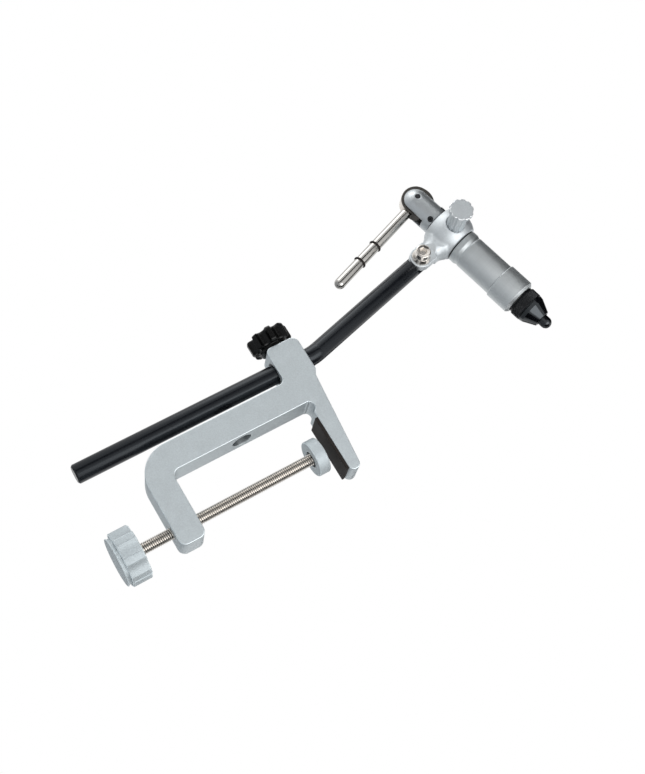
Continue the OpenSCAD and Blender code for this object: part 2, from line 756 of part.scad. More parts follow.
module cam_housing() {
    r = cam_house_d / 2;
    color([0.74, 0.77, 0.79]) in_head() difference() {
        rotate([0, 90, 0]) rotate_extrude() polygon(concat([[0, house_front]],
            [for (a = [0 : 6 : 90]) [r * sin(a), pin_at - r * cos(a)]], [[r, house_front]]));
        translate([pin_at - 2 * r, -cam_slot_w / 2, -2 * r])
            cube([slot_end - pin_at + 2 * r, cam_slot_w, 4 * r]);
        translate([spindle_rear, 0, 0]) rotate([0, 90, 0])
            cylinder(h = house_front - spindle_rear + over, r = spindle_r + seat_fit);
        translate([slot_end - over, 0, 0]) rotate([0, 90, 0])
            cylinder(h = rod_guide_l + 2 * over, r = rod_r + run_fit);
        translate([pin_at, 0, 0]) across(-r - over, r + over, cam_pin_d / 2 + seat_fit);
        at_set_screws() cylinder(h = r, r = set_screw_d / 2 + seat_fit);
    }
}

module at_set_screws() {
    for (a = [36, 126])
        rotate([a, 0, 0]) translate([(spindle_rear + house_front) / 2, 0, spindle_r - 0.5])
            children();
}

module set_screws() {
    color([0.2, 0.2, 0.21]) in_head() at_set_screws()
        translate([0, 0, 0.5 + face_gap]) difference() {
            cylinder(h = cam_house_d / 2 - spindle_r - 0.4, r = set_screw_d / 2);
            translate([0, 0, 0.8]) cylinder(h = cam_house_d, r = set_screw_d * 0.29, $fn = 6);
        }
}

module cam_pin() {
    color([0.3, 0.3, 0.31]) in_head() translate([pin_at, 0, 0])
        across(1 - cam_house_d / 2, cam_house_d / 2 - 1, cam_pin_d / 2);
}

// Cam and lever: the cam's radius falls evenly over the angle that the lever turns, then to the
// heel beside the lever, and climbs back to the full radius in front
function cam_radius(a) =
    a <= lever_turn ? cam_r - cam_throw * a / lever_turn
    : a <= cam_back[0] ? cam_low_r
    : a <= cam_heel[0] ? cam_low_r
        - (cam_low_r - cam_heel_r) * (a - cam_back[0]) / (cam_heel[0] - cam_back[0])
    : a <= cam_heel[1] ? cam_heel_r
    : a <= cam_back[1] ? cam_heel_r
        + (cam_r - cam_heel_r) * (a - cam_heel[1]) / (cam_back[1] - cam_heel[1])
    : cam_r;

module at_pin() {
    in_head() translate([pin_at, 0, 0]) children();
}

module along_lever() {
    at_pin() rotate([0, -lever_slant, 0]) mirror([0, 0, 1]) children();
}

module cam() {
    w = cam_slot_w - 0.4;
    step = 3;
    color([0.66, 0.63, 0.6]) difference() {
        at_pin() translate([0, w / 2, 0]) rotate([90, 0, 0]) linear_extrude(w)
            polygon([for (a = [0 : step : 360 - step]) cam_radius(a) * [cos(a), sin(a)]]);
        at_pin() across(-w, w, cam_pin_d / 2 + run_fit + 0.01);
        along_lever() translate([0, 0, cam_pin_d / 2 + 2]) cylinder(h = cam_r, r = lever_d / 3 + seat_fit);
    }
}

function ring_groove(at) = [[lever_d / 2, at - 0.66], [lever_d / 2 - 0.7, at - 0.66],
    [lever_d / 2 - 0.7, at + 0.66], [lever_d / 2, at + 0.66]];

module lever_rod() {
    r = lever_d / 2;
    root = cam_heel_r + 0.25;
    color([0.8, 0.8, 0.78]) along_lever() {
        rotate_extrude() polygon(concat(
            [[0, cam_pin_d / 2 + 2.3], [lever_d / 3, cam_pin_d / 2 + 2.3], [lever_d / 3, root], [r, root]],
            ring_groove(grip_ring_at), ring_groove(grip_ring_at + grip_ring_gap),
            [[r, lever_l - r], [0, lever_l - r]]));
        translate([0, 0, lever_l - r]) sphere(r = r);
    }
}

module lever_rings() {
    color([0.05, 0.05, 0.05]) along_lever()
        for (at = [grip_ring_at, grip_ring_at + grip_ring_gap])
            translate([0, 0, at]) rotate_extrude()
                translate([lever_d / 2 - 0.03, 0]) circle(r = 0.63, $fn = 24);
}

// Push rod, return spring, jaws and nose

module push_rod() {
    color([0.62, 0.62, 0.64]) turned([[0, rod_rear], [rod_r, rod_rear], [rod_r, rod_flange[0]],
        [spindle_in_r - 0.1, rod_flange[0]], [spindle_in_r - 0.1, rod_flange[1]],
        [rod_r, rod_flange[1]], [rod_r, jaw_pivot - 4.2], [spindle_in_r - 0.1, jaw_pivot - 4.2],
        [spindle_in_r - 0.1, jaw_pivot], [0, jaw_pivot]]);
}

// A tube of six sides swept along the coil; the last rings close it at both ends
module return_spring() {
    sides = 6;
    rings = spring_turns * 18;
    mean_r = (rod_r + spindle_in_r) / 2;
    first = rod_flange[1] + spring_wire / 2 + face_gap;
    rise = web[0] - rod_flange[1] - spring_wire - 2 * face_gap;
    function spot(i) = [first + rise * i / rings,
        mean_r * cos(i * 20), mean_r * sin(i * 20)];
    points = [for (i = [0 : rings]) for (k = [0 : sides - 1])
        spot(i) + spring_wire / 2 * [sin(60 * k),
            cos(60 * k) * cos(i * 20), cos(60 * k) * sin(i * 20)]];
    sides_faces = [for (i = [0 : rings - 1]) for (k = [0 : sides - 1])
        let (m = (k + 1) % sides, p = i * sides, q = p + sides)
            each [[p + k, p + m, q + k], [q + k, p + m, q + m]]];
    ends = [for (k = [1 : sides - 2]) each [[0, k + 1, k],
        [rings * sides, rings * sides + k, rings * sides + k + 1]]];
    color([0.55, 0.55, 0.56]) in_head() polyhedron(points, concat(sides_faces, ends));
    coil_gap = rise / spring_turns - spring_wire;
    echo(least_gap_between_turns = coil_gap);
}

function jaw_seat_r(s) = seat_big_r - (s - seat_rear) * seat_slope - seat_gap;

module jaw_pair() {
    r = jaw_d / 2;
    turned([[0, jaw_pivot + 0.1], [jaw_leg_r, jaw_pivot + 0.1], [jaw_leg_r, jaw_head_rear],
        [min(jaw_seat_r(jaw_head_rear + 1.4), seat_big_r - 0.65), jaw_head_rear],
        [min(jaw_seat_r(jaw_head_rear + 1.4), seat_big_r - 0.65), jaw_head_rear + 1.4],
        [jaw_seat_r(jaw_head_front), jaw_head_front], [r, jaw_head_front],
        [r, jaw_tip - r], [0, jaw_tip - r]]);
    in_head() translate([jaw_tip - r, 0, 0]) sphere(r = r);
}

module jaw_half(side) {
    color([0.07, 0.07, 0.08]) intersection() {
        jaw_pair();
        in_head() translate([0, side * (ball_r + jaw_cut), 0])
            cube([4 * jaw_tip, 2 * ball_r, 2 * ball_r], center = true);
    }
}

module jaw_left() { jaw_half(-1); }

module jaw_right() { jaw_half(1); }

module knurled_collar() {
    r = knurl_d / 2;
    bore = spindle_r + run_fit;
    thread = tail_r + run_fit;
    color([0.08, 0.08, 0.09]) turned([[bore, collar_rear], [collar_neck_d / 2, collar_rear],
        [collar_neck_d / 2, knurl_rear], [r - 0.4, knurl_rear], [r, knurl_rear + 0.4],
        [r, knurl_front - 0.4], [r - 0.4, knurl_front], [thread, knurl_front],
        [thread, knurl_rear], [bore, knurl_rear]]);
}

module nose_cone() {
    color([0.06, 0.06, 0.07]) turned([[seat_big_r, knurl_rear + move_gap], [tail_r, knurl_rear + move_gap],
        [tail_r, nose_rear], [knurl_d / 2 - 0.1, nose_rear], [knurl_d / 2 - 0.5, cone_rear],
        [nose_tip_d / 2, nose_front], [nose_hole_r, nose_front], [nose_hole_r, seat_front],
        [seat_big_r, seat_rear]]);
}

clamp_frame();
jaw_pad();
clamp_foot();
foot_clip();
clamp_screw();
clamp_knob();
stem_liner();
stem();
stem_lock_tip();
lock_stud();
lock_knob();
head_housing();
front_bushing();
rear_bushing();
tilt_screw();
tilt_cone_washer();
tilt_friction_washer();
friction_plug();
thumb_stud();
thumb_knob();
spindle();
front_washer();
rear_washer();
barrel_sleeve();
barrel_front_ring();
cam_housing();
set_screws();
cam_pin();
cam();
lever_rod();
lever_rings();
push_rod();
return_spring();
jaw_left();
jaw_right();
knurled_collar();
nose_cone();
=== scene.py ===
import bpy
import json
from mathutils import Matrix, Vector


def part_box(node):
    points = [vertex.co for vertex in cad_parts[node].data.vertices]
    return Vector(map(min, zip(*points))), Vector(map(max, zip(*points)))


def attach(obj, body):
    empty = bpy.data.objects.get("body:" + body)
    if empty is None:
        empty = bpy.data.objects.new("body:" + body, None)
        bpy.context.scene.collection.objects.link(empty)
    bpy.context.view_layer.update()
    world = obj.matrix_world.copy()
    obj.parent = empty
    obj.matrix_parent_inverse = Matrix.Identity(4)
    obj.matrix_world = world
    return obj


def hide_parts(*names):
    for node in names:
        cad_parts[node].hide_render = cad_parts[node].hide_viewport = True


bl_info = {
    "name": "Fly Tying Vise",
    "version": (1, 0, 0),
    "blender": (4, 5, 0),
    "location": "View3D > Sidebar > Vise",
    "description": "Dresses the packed fly tying vise with rounded pieces and metal finishes",
    "category": "Add Mesh",
}

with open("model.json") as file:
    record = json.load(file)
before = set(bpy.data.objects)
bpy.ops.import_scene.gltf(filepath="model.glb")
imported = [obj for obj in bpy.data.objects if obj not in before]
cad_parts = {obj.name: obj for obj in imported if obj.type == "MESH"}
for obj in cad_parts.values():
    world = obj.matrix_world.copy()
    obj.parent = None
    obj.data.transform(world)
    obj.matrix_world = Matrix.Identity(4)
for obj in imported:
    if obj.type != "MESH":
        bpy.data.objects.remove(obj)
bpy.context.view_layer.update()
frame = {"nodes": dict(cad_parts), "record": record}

import json
import math
from types import SimpleNamespace

import bmesh
import bpy
import numpy as np
from bpy.props import FloatProperty, FloatVectorProperty, IntProperty, PointerProperty
from mathutils import Matrix, Vector

MM = 0.001
JOINTS = {j["name"]: j for j in frame["record"]["behaviour"]["joints"]}


def joint_place(name):
    """Where a joint is, in millimetres."""
    return Vector(JOINTS[name]["pos_m"]) / MM


def span(node, axis):
    """Lowest and highest reach of a node along one of the row's axes, in millimetres."""
    low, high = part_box(node)
    return low[axis] / MM, high[axis] / MM


def facing(at, along, start):
    """Matrix at a place with its X axis along one direction and its Y axis towards another."""
    x, y = Vector(along).normalized(), Vector(start).normalized()
    m = Matrix((x, y, x.cross(y))).transposed().to_4x4()
    m.translation = Vector(at)
    return m


# Directions in the shared frame
X, Y, Z = (1, 0, 0), (0, 1, 0), (0, 0, 1)
FRONT, REAR = (0, -1, 0), (-1, 0, 0)

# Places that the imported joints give, and how far some lie from the ball along the jaw axis or below it
BALL = joint_place("head_spin")
JAW_AXIS = Vector(JOINTS["head_spin"]["axis"])
UP_AXIS = Vector((-JAW_AXIS.z, 0, JAW_AXIS.x))
TILT = joint_place("head_tilt")
PIN = joint_place("cam_lever")
THUMB = joint_place("thumb_turn")
LOCK = joint_place("lock_turn")
PIN_AT = (PIN - BALL).dot(JAW_AXIS)
THUMB_AT = (THUMB - BALL).dot(JAW_AXIS)
EAR_AT = (TILT - BALL).dot(JAW_AXIS)
EAR_L = (BALL - TILT).dot(UP_AXIS)

# Matrices that turned pieces are built in, with X along the piece's own axis
HEAD = facing(BALL, JAW_AXIS, Y)
UPRIGHT = facing((0, 0, 0), Z, X)
TILT_SCREW = facing((TILT.x, 0, TILT.z), FRONT, X)
THUMB_SCREW = facing(BALL + JAW_AXIS * THUMB_AT, FRONT, JAW_AXIS)
LOCK_SCREW = facing((0, LOCK.y, LOCK.z), REAR, Z)

# A point on the axis, the direction and the radius of the round hole through the clamp frame's back, whose
# wall the frame's finish paints dark as shade
HOLE_LOW, HOLE_HIGH = next(o["box_m"] for o in frame["record"]["physics"]["openings"]
                           if o["name"] == "cross_bore")
CROSS_BORE = (Vector((0, 0, (HOLE_LOW[2] + HOLE_HIGH[2]) / 2)) / MM, X, 5.25)

# Radius of the bores that sit on the spindle, in millimetres
SPINDLE_BORE = 6.1


def along_head(node):
    """Lowest and highest reach of a node along the jaw axis, measured from the ball's centre."""
    body = frame["nodes"][node]
    spots = [(body.matrix_world @ v.co) / MM for v in body.data.vertices]
    reach = [(p - BALL).dot(JAW_AXIS) for p in spots]
    return min(reach), max(reach)


def widest(node, matrix):
    """Largest distance of a node's points from the X axis of a matrix."""
    body = frame["nodes"][node]
    back = matrix.inverted()
    spots = [back @ ((body.matrix_world @ v.co) / MM) for v in body.data.vertices]
    return max(math.hypot(p.y, p.z) for p in spots)


# Sizes and colours that a user would change

def length(name, text, value, low=0.0, high=100.0):
    """A size given in millimetres and held as a length in metres."""
    return FloatProperty(name=name, description=text, default=value * MM, min=low * MM, max=high * MM,
                         precision=5, unit="LENGTH")


def how_many(name, text, value, low):
    """A count of like features."""
    return IntProperty(name=name, description=text, default=value, min=low)


def colour(name, text, value):
    """A colour that the finishes start from."""
    return FloatVectorProperty(name=name, description=text, default=value, subtype="COLOR", size=3,
                               min=0, max=1)


class ViseShape(bpy.types.PropertyGroup):
    edge: length("Edge", "Rounding of the clamp frame's edges", 0.55)
    ball_r: length("Ball radius", "Radius of the ball body", 13.4)
    neck_r: length("Neck radius", "Radius of the neck between ball and ear", 6.3)
    neck_flare: length("Neck flare", "How much wider the neck is where it meets the ball", 1.9)
    ear_r: length("Ear radius", "Radius of the ear's round end", 6.0)
    spot_r: length("Flat radius", "Radius of the flat round the tilt screw", 7.7)
    blend: length("Blend", "Size of the soft fillet between ball and neck", 1.1)
    recess_r: length("Recess radius", "Radius of the recess round the thumb knob", 4.95)
    recess_floor: length("Recess floor", "Distance of the recess's floor from the jaw axis", 11.6)
    pitch: length("Thread pitch", "Pitch of the clamp screw", 1.0)
    net_step: length("Net step", "Grid size of the sculpted housings", 0.4, 0.1, 2)
    knurl_teeth: how_many("Knurl teeth", "Diamonds round the knurled collar", 64, 12)
    thumb_scallops: how_many("Thumb scallops", "Scallops on the thumb knob", 10, 4)
    star_lobes: how_many("Star lobes", "Lobes of the star knob", 8, 3)
    knob_lobes: how_many("Knob lobes", "Lobes of the clamp knob", 8, 4)


class ViseFinish(bpy.types.PropertyGroup):
    frame_metal: colour("Frame", "Blasted aluminium of the clamp", (0.60, 0.65, 0.67))
    head_metal: colour("Head", "Blasted aluminium of the head", (0.645, 0.68, 0.70))
    barrel_metal: colour("Barrel", "Turned aluminium of the barrel", (0.58, 0.61, 0.62))
    stem_black: colour("Stem", "Satin black of the stem", (0.004, 0.0046, 0.0066))
    chuck_black: colour("Chuck", "Black of collar and nose", (0.0022, 0.0022, 0.003))
    plastic_black: colour("Plastic", "Black of the star knob", (0.0016, 0.0016, 0.0016))
    rubber: colour("Rubber", "Dark rubber of pad and rings", (0.016, 0.012, 0.010))
    steel: colour("Steel", "Bright steel of the screw", (0.72, 0.68, 0.63))
    nickel: colour("Nickel", "Nickel of the tilt screw", (0.78, 0.74, 0.69))
    chrome: colour("Chrome", "Polished lever", (0.43, 0.42, 0.40))


def in_millimetres(group):
    """A group's sizes by name, with lengths in millimetres and counts as they are."""
    sizes = SimpleNamespace()
    for key in group.__annotations__:
        value = getattr(group, key)
        setattr(sizes, key, value if isinstance(value, int) else round(value / MM, 4))
    return sizes


# Mesh building: all sizes are millimetres until the object is made

def make_object(name, spots, faces, crease=32):
    """An object of points and faces, smooth up to an angle in degrees."""
    mesh = bpy.data.meshes.new(name)
    mesh.from_pydata([tuple(p) for p in np.asarray(spots) * MM], [], faces)
    mesh.validate()
    work = bmesh.new()
    work.from_mesh(mesh)
    bmesh.ops.recalc_face_normals(work, faces=work.faces)
    work.to_mesh(mesh)
    work.free()
    mesh.shade_smooth()
    mesh.set_sharp_from_angle(angle=math.radians(crease))
    piece = bpy.data.objects.new(name, mesh)
    bpy.context.scene.collection.objects.link(piece)
    return piece


def place(spots, matrix):
    """Points moved by a matrix."""
    m = np.array(matrix)
    return np.asarray(spots) @ m[:3, :3].T + m[:3, 3]


FILLET_STEPS = 5


def fillet(corners):
    """Points of an outline whose corners are (radius, station, fillet)."""
    out = []
    count = len(corners)
    for i, (r, s, size) in enumerate(corners):
        here = Vector((r, s))
        before = Vector(corners[i - 1][:2]) - here if i else None
        after = Vector(corners[i + 1][:2]) - here if i < count - 1 else None
        if size <= 0 or before is None or after is None:
            out.append((r, s))
            continue
        half = before.angle(after) / 2
        run = min(size / math.tan(half), before.length * 0.45, after.length * 0.45)
        a = here + before.normalized() * run
        b = here + after.normalized() * run
        middle = here + (before.normalized() + after.normalized()).normalized() * (run / math.cos(half))
        real = run * math.tan(half)
        start, end = a - middle, b - middle
        turn = start.angle_signed(end)
        for k in range(FILLET_STEPS + 1):
            angle = -turn * k / FILLET_STEPS
            spin = Vector((start.x * math.cos(angle) - start.y * math.sin(angle),
                           start.x * math.sin(angle) + start.y * math.cos(angle)))
            out.append(tuple(middle + spin.normalized() * real))
    return out


def subdivide(points, most):
    """Adds points so that no step is longer than most."""
    out = [points[0]]
    for a, b in zip(points, points[1:]):
        parts = max(1, math.ceil(math.dist(a, b) / most))
        for k in range(1, parts + 1):
            out.append((a[0] + (b[0] - a[0]) * k / parts, a[1] + (b[1] - a[1]) * k / parts))
    return out


def lathe(name, corners, matrix, turns=128, wave=None, most=None, crease=32):
    """A turned piece on the X axis of matrix, from corners (radius, station, fillet)."""
    line = fillet(corners)
    if most:
        line = subdivide(line, most)
    r = np.array([max(p[0], 0.0) for p in line])
    s = np.array([p[1] for p in line])
    angle = np.arange(turns) * (2 * math.pi / turns)
    grid_r = np.repeat(r[:, None], turns, 1)
    grid_s = np.repeat(s[:, None], turns, 1)
    if wave:
        grid_r, grid_s = wave(np.repeat(angle[None], len(r), 0), grid_r, grid_s)
    spots = np.stack([grid_s, grid_r * np.cos(angle), grid_r * np.sin(angle)], -1).reshape(-1, 3)
    faces = []
    first, last = r[0] < 1e-6, r[-1] < 1e-6
    rows = len(r)
    for i in range(rows - 1):
        for k in range(turns):
            m = (k + 1) % turns
            quad = [i * turns + k, i * turns + m, (i + 1) * turns + m, (i + 1) * turns + k]
            if i == 0 and first:
                quad = [0, quad[2], quad[3]]
            if i == rows - 2 and last:
                quad = [quad[0], quad[1], (rows - 1) * turns]
            faces.append(quad)
    if not first and not last and math.dist(line[0], line[-1]) > 1e-9:
        base = (rows - 1) * turns
        for k in range(turns):
            m = (k + 1) % turns
            faces.append([base + k, base + m, m, k])
    used = sorted({v for f in faces for v in f})
    back = {v: i for i, v in enumerate(used)}
    faces = [[back[v] for v in f][::-1] for f in faces]
    return make_object(name, place(spots[used], matrix), faces, crease)


def smooth_max(a, b, k):
    """The larger of two fields, with the edge between them rounded over a width k."""
    h = np.maximum(k - np.abs(a - b), 0) / k
    return np.maximum(a, b) + h * h * k / 4


def smooth_min(a, b, k):
    """The smaller of two fields, with a fillet of width k between them."""
    return -smooth_max(-a, -b, k)


def scalloped(outer, scallop, reach, count, soft, start=0.0):
    """Outline of a knob: a circle with round scallops of one radius, whose centres lie at reach. The first is
    at the start angle."""
    part = 2 * math.pi / count

    def limit(angle):
        turn = (angle - start + part / 2) % part - part / 2
        side = scallop ** 2 - (reach * np.sin(turn)) ** 2
        inner = np.where(side > 0, reach * np.cos(turn) - np.sqrt(np.maximum(side, 0)), outer)
        return smooth_min(inner, np.full_like(inner, outer), soft)
    return limit


def net(name, field, low, high, step, matrix):
    """A closed mesh where field(x, y, z) changes sign, one point to each grid cell that it crosses."""
    axes = [np.arange(low[i] - 1.5 * step, high[i] + 2.5 * step, step) for i in range(3)]
    grid = np.meshgrid(*axes, indexing="ij")
    value = field(*grid)
    inside = value < 0
    cells = tuple(n - 1 for n in value.shape)
    total = np.zeros(cells + (3,))
    count = np.zeros(cells)
    for axis in range(3):
        head = [slice(None)] * 3
        tail = [slice(None)] * 3
        head[axis], tail[axis] = slice(0, -1), slice(1, None)
        a, b = value[tuple(head)], value[tuple(tail)]
        cross = (a < 0) != (b < 0)
        part = np.where(cross, a / np.where(cross, a - b, 1), 0)
        spot = np.stack([g[tuple(head)] for g in grid], -1)
        spot[..., axis] += part * step
        others = [i for i in range(3) if i != axis]
        for da in (0, 1):
            for db in (0, 1):
                take = [slice(None)] * 3
                take[others[0]] = slice(da, da + cells[others[0]])
                take[others[1]] = slice(db, db + cells[others[1]])
                c = cross[tuple(take)]
                count += c
                total += spot[tuple(take)] * c[..., None]
    live = count > 0
    number = -np.ones(cells, int)
    number[live] = np.arange(live.sum())
    spots = total[live] / count[live][:, None]
    h = 0.02
    for _ in range(3):
        x, y, z = spots.T
        f = field(x, y, z)
        g = np.stack([field(x + h, y, z) - field(x - h, y, z), field(x, y + h, z) - field(x, y - h, z),
                      field(x, y, z + h) - field(x, y, z - h)], -1) / (2 * h)
        move = f[:, None] * g / np.maximum((g * g).sum(1), 0.2)[:, None]
        spots = spots - np.clip(move, -0.5 * step, 0.5 * step)
    faces = []
    for axis in range(3):
        u, v = [(1, 2), (2, 0), (0, 1)][axis]
        head = [slice(1, -1)] * 3
        tail = [slice(1, -1)] * 3
        head[axis], tail[axis] = slice(0, -1), slice(1, None)
        a, b = inside[tuple(head)], inside[tuple(tail)]
        i, j, k = np.nonzero(a != b)
        flip = a[i, j, k]
        at = [i, j, k]
        for d in (u, v):
            at[d] = at[d] + 1
        def cell(du, dv):
            c = [n.copy() for n in at]
            c[u] -= du
            c[v] -= dv
            return number[tuple(c)]
        quad = np.stack([cell(0, 0), cell(1, 0), cell(1, 1), cell(0, 1)], -1)
        quad[~flip] = quad[~flip][:, ::-1]
        faces.extend(quad.tolist())
    return make_object(name, place(spots, matrix), faces, 180)


def dress(piece, body, slot, finish, *nodes):
    """Gives a piece its finish, its body and the CAD nodes that it stands for."""
    piece.data.materials.clear()
    piece.data.materials.append(finish)
    if nodes:
        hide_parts(*nodes)
    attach(piece, body)


def round_off(node, finish, size, clamp=True):
    """Keeps a CAD node, with a better finish and its edges rounded by modifiers. clamp holds the rounding
    back where edges lie close together."""
    piece = frame["nodes"][node]
    for held in piece.material_slots:
        held.material = finish
    if size:
        weld = piece.modifiers.new("weld", "WELD")
        weld.merge_threshold = 1e-6
        flat = piece.modifiers.new("flat", "DECIMATE")
        flat.decimate_type = "DISSOLVE"
        flat.angle_limit = math.radians(0.6)
        bevel = piece.modifiers.new("round", "BEVEL")
        bevel.width = size * MM
        bevel.segments = 3
        bevel.limit_method = "ANGLE"
        bevel.angle_limit = math.radians(28)
        bevel.use_clamp_overlap = clamp
        bevel.harden_normals = True


# Shader maths: a wrapped socket takes part in plain expressions

class Wire:
    """A socket in a node tree. Arithmetic on it adds Math nodes."""

    def __init__(self, shader, socket):
        self.shader = shader
        self.socket = socket

    def __add__(self, other):
        return self.shader.math("ADD", self, other)

    def __sub__(self, other):
        return self.shader.math("SUBTRACT", self, other)

    def __rsub__(self, other):
        return self.shader.math("SUBTRACT", other, self)

    def __mul__(self, other):
        return self.shader.math("MULTIPLY", self, other)

    def __pow__(self, other):
        return self.shader.math("POWER", self, other)

    __radd__ = __add__
    __rmul__ = __mul__


class Nodes:
    """A node tree that is written as expressions."""

    def __init__(self, owner):
        owner.use_nodes = True
        self.tree = owner.node_tree
        self.tree.nodes.clear()

    def node(self, kind, settings=None, values=None, output=0):
        """Adds a node: settings first, then values or links to its sockets."""
        made = self.tree.nodes.new(kind)
        for key, value in (settings or {}).items():
            setattr(made, key, value)
        for key, value in (values or {}).items():
            socket = made.inputs[key]
            if isinstance(value, Wire):
                self.tree.links.new(value.socket, socket)
            else:
                socket.default_value = value
        return Wire(self, made.outputs[output]) if made.outputs else None

    def math(self, operation, a, b=0.0, clamp=False):
        """A Math node on one or two numbers."""
        return self.node("ShaderNodeMath", {"operation": operation, "use_clamp": clamp}, {0: a, 1: b})

    def clamp(self, a):
        """A number held between 0 and 1."""
        return self.math("ADD", a, 0.0, True)

    def vector(self, operation, a, b=(0, 0, 0), output="Vector"):
        """A Vector Math node on one or two vectors."""
        return self.node("ShaderNodeVectorMath", {"operation": operation}, {0: a, 1: b}, output)


class Shader(Nodes):
    """A material whose surface is written as expressions."""

    def __init__(self, name):
        self.material = bpy.data.materials.new(name)
        super().__init__(self.material)
        self.place = self.node("ShaderNodeTexCoord", output="Object")

    def dot(self, direction):
        """Where the surface lies along a direction, in metres."""
        return self.vector("DOT_PRODUCT", self.place, tuple(direction), "Value")

    def noise(self, size, detail=2.0, rough=0.5):
        """Noise whose features are about size millimetres, from 0 to 1."""
        return self.node("ShaderNodeTexNoise", None, {"Vector": self.place, "Scale": 1 / (size * MM),
                                                      "Detail": detail, "Roughness": rough})

    def lines(self, along, size):
        """Noise that changes only along one direction, for turned or drawn metal."""
        return self.node("ShaderNodeTexNoise", {"noise_dimensions": "1D"},
                         {"W": self.dot(along), "Scale": 1 / (size * MM), "Detail": 3.0})

    def mix(self, part, a, b):
        """Mixes two colours, each a triple or a wire."""
        return self.node("ShaderNodeMix", {"data_type": "RGBA"}, {0: part, 6: opaque(a), 7: opaque(b)}, 2)

    def edge(self, size):
        """1 at sharp edges, 0 on flats."""
        soft = self.node("ShaderNodeBevel", {"samples": 4}, {"Radius": size * MM})
        true = self.node("ShaderNodeNewGeometry", output="Normal")
        return self.clamp((1 - self.vector("DOT_PRODUCT", soft, true, "Value")) * 6)

    def rounded(self, axis):
        """1 on the rounded edges between faces square to an axis and faces along it."""
        normal = self.node("ShaderNodeTexCoord", output="Normal")
        along = self.math("ABSOLUTE", self.vector("DOT_PRODUCT", normal, axis, "Value"))
        across = (1 - along * along) ** 0.5
        return self.clamp(self.math("MINIMUM", along, across) * 2.2 - 0.55)

    def inside(self, spot, axis, radius):
        """1 within a radius of an axis through a point, in millimetres."""
        away = self.vector("SUBTRACT", self.place, tuple(spot * MM))
        far = self.vector("LENGTH", self.vector("CROSS_PRODUCT", away, axis), output="Value")
        return self.clamp((radius * MM - far) * (8 / MM) + 0.5)

    def finish(self, paint, rough, metal, height=None, depth=0.0, level=0.5, tint=(1, 1, 1)):
        """Ends the material in one surface shader. depth is the bump's height in millimetres."""
        values = {"Base Color": opaque(paint), "Roughness": rough, "Metallic": metal,
                  "Specular IOR Level": level, "Specular Tint": opaque(tint)}
        if height is not None:
            values["Normal"] = self.node("ShaderNodeBump", None,
                                         {"Height": height, "Distance": depth * MM, "Strength": 1.0})
        surface = self.node("ShaderNodeBsdfPrincipled", None, values)
        self.node("ShaderNodeOutputMaterial", None, {"Surface": surface})
        return self.material


def opaque(paint):
    """A colour for a socket: a wire as it is, and a triple with full alpha."""
    return paint if isinstance(paint, Wire) else (*paint, 1)


def shade(base, factor):
    """A colour made darker or lighter."""
    return tuple(min(1.0, c * factor) for c in base)


def blasted_metal(name, base, rough=0.55, cut=None, bore=None):
    """Bead blasted aluminium: a fine grain, faint clouds and a painted highlight on its edges. cut is the
    axis that the piece's flat faces stand on, whose rounded edges get the painted highlight. bore is a point,
    an axis and a radius of a hole whose wall is painted dark as shade."""
    s = Shader(name)
    grain = s.noise(0.16, 3.0, 0.6)
    speck = s.noise(0.5, 4.0, 0.7)
    cloud = s.noise(6.0, 2.0)
    body = s.mix(s.clamp(cloud * 0.3 + (speck - 0.5) * 1.6 + 0.35), shade(base, 0.84), shade(base, 1.13))
    # Painted highlight: the rounded edges are painted much lighter than the faces, and made less rough.
    wear_and_edge_highlight = s.rounded(cut) if cut else s.edge(0.35) * 0.45
    paint = s.mix(wear_and_edge_highlight, body, shade(base, 1.5))
    # Painted shade on the bore's wall.
    if bore:
        paint = s.mix(s.inside(*bore), paint, shade(base, 0.42))
    return s.finish(paint, s.clamp(rough + (cloud - 0.5) * 0.1 - wear_and_edge_highlight * 0.15), 0.85, grain, 0.03)


def turned_metal(name, base):
    """Turned metal: fine lines round the jaw axis, and a painted highlight on its edges."""
    s = Shader(name)
    fine = s.lines(JAW_AXIS, 0.09)
    wide = s.lines(JAW_AXIS, 1.3)
    body = s.mix(fine * 0.6 + wide * 0.4, shade(base, 0.84), shade(base, 1.14))
    # Painted highlight: the edges are painted lighter than the body.
    paint = s.mix(s.edge(0.3) * 0.5, body, shade(base, 1.5))
    return s.finish(paint, s.clamp(0.46 + (wide - 0.5) * 0.12), 0.9, fine, 0.012)


def satin_black(name, base, rough, wear=0.3, level=0.25, tint=(0.86, 0.94, 1.0)):
    """Satin black coat on metal, rubbed to bare metal on its edges."""
    s = Shader(name)
    grain = s.noise(0.25, 3.0)
    cloud = s.noise(9.0, 3.0)
    # In this coat the mask is wear through to bare metal on the edges, with no painted highlight.
    wear_and_edge_highlight = s.clamp((s.edge(0.25) * 1.4 + cloud - 1.15) * 3) * wear
    paint = s.mix(wear_and_edge_highlight, s.mix(cloud, shade(base, 0.8), shade(base, 1.3)), (0.25, 0.25, 0.25))
    rough = s.clamp(rough + (cloud - 0.5) * 0.12 + (grain - 0.5) * 0.06)
    return s.finish(paint, rough, wear_and_edge_highlight, grain, 0.006, level, tint)


